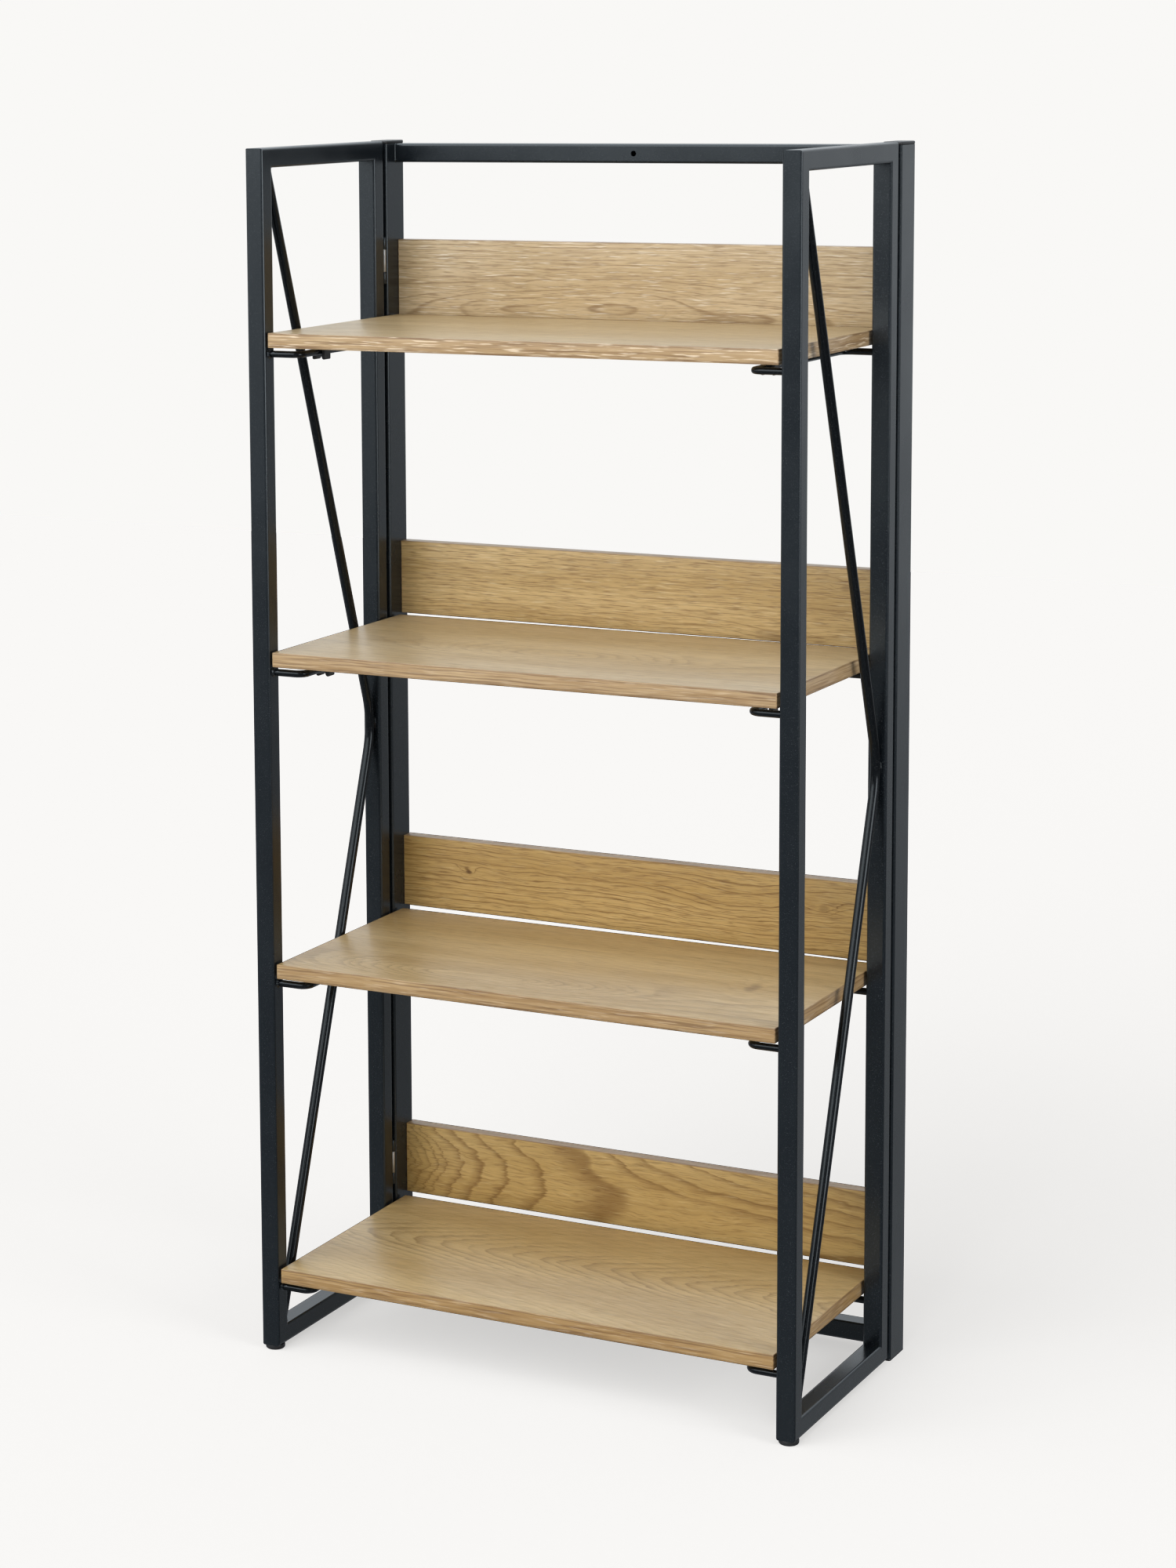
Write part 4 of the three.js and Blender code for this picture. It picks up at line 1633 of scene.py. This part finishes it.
@dataclass
class SmallParts:
    """Hinges, snap clips, glides and pivot pins."""

    finishes: Finishes
    centre_knuckle: float = 0.024
    barrel_radius: float = 0.00325
    knuckle_radius: float = 0.0023
    knuckle_bore: float = 0.0008
    knuckle_soft: float = 0.0004
    knuckle_gap: float = 0.0001
    recess: float = 0.0017
    leaf: float = 0.0015
    leaf_edge: float = 0.0003
    leaf_gap: float = 0.0003
    leaf_root: float = 0.0012
    leaf_start: float = 0.0036
    rod_radius: float = 0.0035
    clip_half: float = 0.013
    clip_wall: float = 0.0036
    clip_plate: float = 0.003
    clip_play: float = 0.0004
    clip_gap: float = 0.0003
    clip_reach: float = 0.0045
    clip_grip: float = 0.0007
    clip_nose: float = 0.0014
    clip_chamfer: float = 0.0005
    glide_rim: float = 0.0022
    glide_bore: float = 0.0006
    glide_soft: float = 0.0008

    def knuckle(self, axis: Array, bottom: float, top: float) -> Skin:
        """Turn one knuckle of a barrel, with softened ends.

        Args:
            axis: The point of the barrel's axis at height 0.
            bottom: Height of its lower end.
            top: Height of its upper end.

        Returns:
            The knuckle's skin.
        """
        r, bore, soft = self.knuckle_radius, self.knuckle_bore, self.knuckle_soft
        slight = soft * 0.3
        profile = np.array([
            [bore, bottom], [r - soft, bottom], [r - slight, bottom + slight], [r, bottom + soft],
            [r, top - soft], [r - slight, top - slight], [r - soft, top], [bore, top],
        ])
        return grid_skin(lathe(profile, axis, 40))

    def plate(self, corner: tuple, opposite: tuple) -> Skin:
        """Make a thin plate with soft edges between two opposite corners."""
        low, high = np.minimum(corner, opposite), np.maximum(corner, opposite)
        return grid_skin(rounded_block(low, high, self.leaf_edge, 2, 3))

    def hinge(self, side: str, sign: float, level: str) -> None:
        """Build one hinge as two pieces, a fixed leaf with two knuckles and a moving one with one.

        Args:
            side: Left or right.
            sign: Direction of X away from the bookcase's middle.
            level: Upper or lower.
        """
        stem = f"{side}_{level}_hinge"
        low, high = corners(f"{stem}_fixed_leaf")
        front, back = corners(f"{stem}_moving_leaf")[0][1], corners(f"back_post_{side}")[0][1]
        near, far = (low[0], high[0]) if sign > 0 else (high[0], low[0])
        x = near + sign * (self.barrel_radius + self.recess)
        axis = np.array([x, (back + front) / 2, 0.0])
        root, start = x + sign * self.leaf_root, x + sign * self.leaf_start
        bottom, top = low[2], high[2]
        middle, half = (bottom + top) / 2, self.centre_knuckle / 2
        outer = ((bottom, middle - half), (middle + half, top))
        inner = ((middle - half, middle + half),)
        for kind, y, spans, finish, slot in (
            ("fixed", back - self.leaf, outer, self.finishes.coat, Slot.COAT),
            ("moving", front, inner, self.finishes.zinc, Slot.ZINC),
        ):
            skins = []
            for foot, head in spans:
                corner = (root, y, foot + self.leaf_gap)
                skins.append(self.plate(corner, (far, y + self.leaf, head - self.leaf_gap)))
                skins.append(self.knuckle(axis, foot + self.knuckle_gap, head - self.knuckle_gap))
            skins.append(self.plate((start, y, bottom), (far, y + self.leaf, top)))
            piece = make_piece(f"hinge_{kind}_{side}_{level}", joined(skins), finish, crease=40.0)
            settle(piece, "frame", slot, f"{stem}_{kind}_leaf")

    def clip_outline(self, s: float) -> Array:
        """Trace the clip's section: a plate under the shelf and two prongs that snap round the rod.

        The slot is the rod's radius and some play, the lip under it is narrower than the rod,
        and the nose at a prong's foot is a quarter round. The small steps between these are
        the fillets and bevels of the moulding.

        Args:
            s: Distance by which the outline is drawn in.

        Returns:
            Array of points x 2, X from the rod's line and Z from the shelf's underside.
        """
        edge, plate, nose = self.clip_half, self.clip_plate, self.clip_nose
        slot, lip = self.rod_radius + self.clip_play, self.rod_radius - self.clip_grip
        outer = slot + self.clip_wall
        below = plate + self.clip_gap + 2 * self.rod_radius
        tip = below + self.clip_reach
        turn = np.linspace(0.0, math.pi / 2, 7)
        round_x, round_z = (nose - s) * np.cos(turn), (nose - s) * np.sin(turn)
        half = np.vstack([
            [[edge - s, -s], [edge - s, -0.0022], [edge - 0.0008 - s, s - plate]],
            [[outer + 0.0009 - s, s - plate], [outer - s, -plate - 0.0009]],
            np.stack([outer - nose + round_x, nose - tip - round_z], -1),
            [[lip + 0.0022, s - tip], [lip + 0.0010 + s, 0.0009 - tip], [lip + s, -below - 0.0009]],
            [[lip + s, 0.0003 - below], [lip + 0.0006 + s, 0.0012 - below]],
            [[slot + s, 0.0022 - below], [slot + s, -plate - 0.0006 - s]],
            [[slot - 0.0006, -plate - s]],
        ])
        return np.vstack([half, half[::-1] * np.array([-1.0, 1.0])])

    def clip(self, side: str, number: int) -> None:
        """Build one snap clip.

        Args:
            side: Left or right.
            number: Shelf number.
        """
        node = f"shelf_{number}_clip_{side}"
        low, high = corners(node)
        place = np.array([(low[0] + high[0]) / 2, high[2]])
        points = prism(lambda s: self.clip_outline(s) + place, low[1], high[1], self.clip_chamfer)
        name = f"snap_clip_{side}_{number}"
        piece = make_piece(name, grid_skin(points), self.finishes.plastic, crease=40.0)
        settle(piece, f"shelf_{number}", Slot.PLASTIC, node)

    def glide(self, side: str) -> None:
        """Turn the glide under one front post, with a rounded rim.

        Args:
            side: Left or right.
        """
        low, high = corners(f"{side}_glide")
        r, height = (high[0] - low[0]) / 2, high[2] - low[2]
        rim, bore, soft = self.glide_rim, self.glide_bore, self.glide_soft
        slight = soft / 4
        turn = np.linspace(0, math.pi / 2, 8)
        profile = np.vstack([
            [[bore, 0.0]],
            np.stack([r - rim + rim * np.sin(turn), rim - rim * np.cos(turn)], -1),
            [[r, height - soft], [r - slight, height - slight], [r - soft, height], [bore, height]],
        ])
        base = np.array([(low[0] + high[0]) / 2, (low[1] + high[1]) / 2, low[2]])
        skin = grid_skin(lathe(profile, base, 48))
        piece = make_piece(f"front_glide_{side}", skin, self.finishes.plastic)
        settle(piece, "frame", Slot.PLASTIC, f"{side}_glide")

    def build(self) -> None:
        """Build every small part."""
        for side, sign in SIDES:
            for level in ("upper", "lower"):
                self.hinge(side, sign, level)
            self.glide(side)
            for number in SHELF_NUMBERS:
                self.clip(side, number)
        pins = [f"shelf_{number}_pin_{side}" for number in SHELF_NUMBERS for side, _ in SIDES]
        dress(pins, self.finishes.zinc)


def posed(right: Array, up: Array, look: Array, place: tuple) -> Matrix:
    """Give the matrix of a camera or a lamp.

    Args:
        right: Unit vector to its right.
        up: Unit vector upwards in its view.
        look: Unit vector that it faces along.
        place: Where it stands.

    Returns:
        The matrix whose axes are right, up and away from the look.
    """
    pose = np.eye(4)
    pose[:3] = np.stack([right, up, -look, place], -1)
    return Matrix(pose.tolist())


@dataclass
class Studio:
    """Camera, floor, lamps and surroundings.

    The world's numbers are directions, the strengths of what metal and glass mirror, and the
    levels of the eases between them. A lamp is its name, place, size and power in watts.
    """

    place: tuple = (1.5578, -3.3173, 1.3582)
    yaw: float = 29.157
    pitch: float = -7.865
    roll: float = -0.693
    lens: float = 83.052
    shift: tuple = (0.165, -0.150)
    clip: tuple = (0.1, 100.0)
    ground: tuple = srgb(249, 248, 246)
    cloud: tuple = srgb(247, 246, 244)
    cloud_noise: tuple = (1.5, 1.5, 1.5)
    cloud_share: float = 0.2
    floor_roughness: float = 0.9
    sheet: tuple = (-4.5, 5.0, -4.5, 5.5)
    ambient: float = 0.2
    mirrored: tuple = srgb(240, 246, 251)
    behind: float = 0.83
    beside: float = 0.4
    below: float = 0.31
    above: float = 2.6
    behind_way: tuple = (0.45, 0.89, 0.0)
    behind_levels: tuple = (-0.45, 0.35)
    raised_levels: tuple = (-0.25, -0.02, 0.42, 1.0)
    beside_way: tuple = (1.0, 0.0, 0.0)
    beside_levels: tuple = (0.38, 0.54)
    above_levels: tuple = (0.25, 0.95)
    aim: tuple = (0.0, 0.0, 0.65)
    lamps: tuple = (
        ("key_box", (-0.8, -3.6, 3.0), 4.0, 143.0),
        ("right_box", (3.0, -0.8, 1.2), 1.6, 38.0),
        ("left_box", (-2.9, -1.6, 2.2), 2.4, 16.0),
        ("low_box", (-2.6, -2.6, 1.4), 2.0, 9.0),
        ("top_box", (0.0, -0.5, 3.8), 3.0, 5.0),
    )

    def camera(self) -> None:
        """Place the camera as the photograph was taken.

        The look is f = (-sin yaw cos pitch, cos yaw cos pitch, sin pitch). The camera's right
        and up are turned by the roll, and its axes are right, up and -f.
        """
        yaw, pitch, roll = (math.radians(angle) for angle in (self.yaw, self.pitch, self.roll))
        level = math.cos(pitch)
        look = np.array([-math.sin(yaw) * level, math.cos(yaw) * level, math.sin(pitch)])
        right = np.array([math.cos(yaw), math.sin(yaw), 0.0])
        up = np.cross(right, look)
        rolled_right = math.cos(roll) * right + math.sin(roll) * up
        rolled_up = -math.sin(roll) * right + math.cos(roll) * up
        data = bpy.data.cameras.new("studio_camera")
        data.sensor_fit, data.sensor_width, data.lens = "AUTO", 36.0, self.lens
        data.shift_x, data.shift_y = self.shift
        data.clip_start, data.clip_end = self.clip
        camera = stand("studio_camera", data)
        camera.matrix_world = posed(rolled_right, rolled_up, look, self.place)
        bpy.context.scene.camera = camera

    def floor(self) -> None:
        """Lay a wide pale floor that shows the backdrop's colour and keeps a soft shadow."""
        left, right, front, back = self.sheet
        grid = [(left, front, 0.0), (right, front, 0.0), (right, back, 0.0), (left, back, 0.0)]
        mesh = bpy.data.meshes.new("floor")
        mesh.from_pydata(grid, [], [(0, 1, 2, 3)])
        material, w, shader, place = new_material("pale_floor")
        cloud = w.times(w.noise(place, self.cloud_noise, 2.0), self.cloud_share)
        w.put(shader.inputs["Base Color"], w.tint(cloud, self.ground, self.cloud))
        shader.inputs["Roughness"].default_value = self.floor_roughness
        seen = w.node("ShaderNodeLightPath").outputs["Is Camera Ray"]
        w.put(shader.inputs["Emission Color"], w.tint(seen, (*ORIGIN, 1.0), self.ground))
        shader.inputs["Emission Strength"].default_value = 1.0
        mesh.materials.append(material)
        floor = stand("floor", mesh)
        floor.is_shadow_catcher = True
        floor.visible_glossy = False
        floor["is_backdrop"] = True

    def world(self) -> None:
        """Show the backdrop to the camera and in reflections, and light softly with the rest."""
        world = bpy.data.worlds.new("studio_world")
        world.use_nodes = True
        world.node_tree.nodes.clear()
        bpy.context.scene.world = world
        w = Wiring(world.node_tree)
        rays = w.node("ShaderNodeLightPath").outputs
        heading = w.node("ShaderNodeTexCoord").outputs["Generated"]

        def toward(way: tuple) -> Socket:
            """Say how far the ray heads one way, from -1 to 1."""
            return w.vector("DOT_PRODUCT", heading, way)

        def background(colour: tuple, strength: Value) -> Socket:
            """Shine one colour at a strength."""
            return w.fill(w.node("ShaderNodeBackground"), colour, strength)

        def mixed(share: Value, under: Socket, over: Socket) -> Socket:
            """Show one shader over another."""
            return w.fill(w.node("ShaderNodeMixShader"), share, under, over)

        height = toward(UPWARD)
        behind = w.ease(toward(self.behind_way), *self.behind_levels)
        raised = w.ease(height, *self.raised_levels)
        turned = w.ease(toward(self.beside_way), *self.beside_levels, 1.0, self.beside)
        wall = w.times(w.times(behind, raised), w.times(turned, self.behind))
        ground = w.times(w.less(1.0, behind), self.below)
        upper = w.ease(height, *self.above_levels, 0.0, self.above)
        strength = w.math("ADD", w.math("ADD", wall, ground), upper)
        light = background((*UNIT, 1.0), self.ambient)
        mirror = w.math("MAXIMUM", rays["Is Glossy Ray"], rays["Is Transmission Ray"])
        lit = mixed(mirror, light, background(self.mirrored, strength))
        shown = mixed(rays["Is Camera Ray"], lit, background(self.ground, 1.0))
        w.put(w.node("ShaderNodeOutputWorld").inputs["Surface"], shown)

    def lamp(self, name: str, place: tuple, size: float, power: float) -> None:
        """Hang a square soft box that faces the bookcase.

        Args:
            name: Name of the lamp.
            place: Its centre.
            size: Length of its sides.
            power: Its power in watts.
        """
        data = bpy.data.lights.new(name, "AREA")
        data.shape, data.size, data.energy = "SQUARE", size, power
        look = np.array(self.aim) - np.array(place)
        look /= np.linalg.norm(look)
        side = np.cross(look, UPWARD)
        side /= np.linalg.norm(side)
        stand(name, data).matrix_world = posed(side, np.cross(side, look), look, place)

    def build(self) -> None:
        """Set up the whole studio."""
        self.camera()
        self.floor()
        self.world()
        for lamp in self.lamps:
            self.lamp(*lamp)
        bpy.context.scene.view_settings.view_transform = "Standard"


def write_sizes(solid: tuple, shown: tuple) -> None:
    """Turn the boxes of the solids and of the shown pieces into plain lists.

    Args:
        solid: Lowest and highest corner of the solids.
        shown: Lowest and highest corner of the shown pieces.
    """
    boxes = {"cad": solid, "visual": shown}
    boxes = {name: [list(corner) for corner in box] for name, box in boxes.items()}


def main() -> None:
    """Build the bookcase's looks piece by piece."""
    logging.basicConfig(level=logging.INFO, format="%(name)s: %(message)s")
    Studio().build()
    finishes = Finishes()
    OakBoards(finishes).build()
    SteelTubes(finishes).build()
    BentRods(finishes).build()
    SmallParts(finishes).build()
    write_sizes(solid_box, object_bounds())


if __name__ == "__main__":
    main()
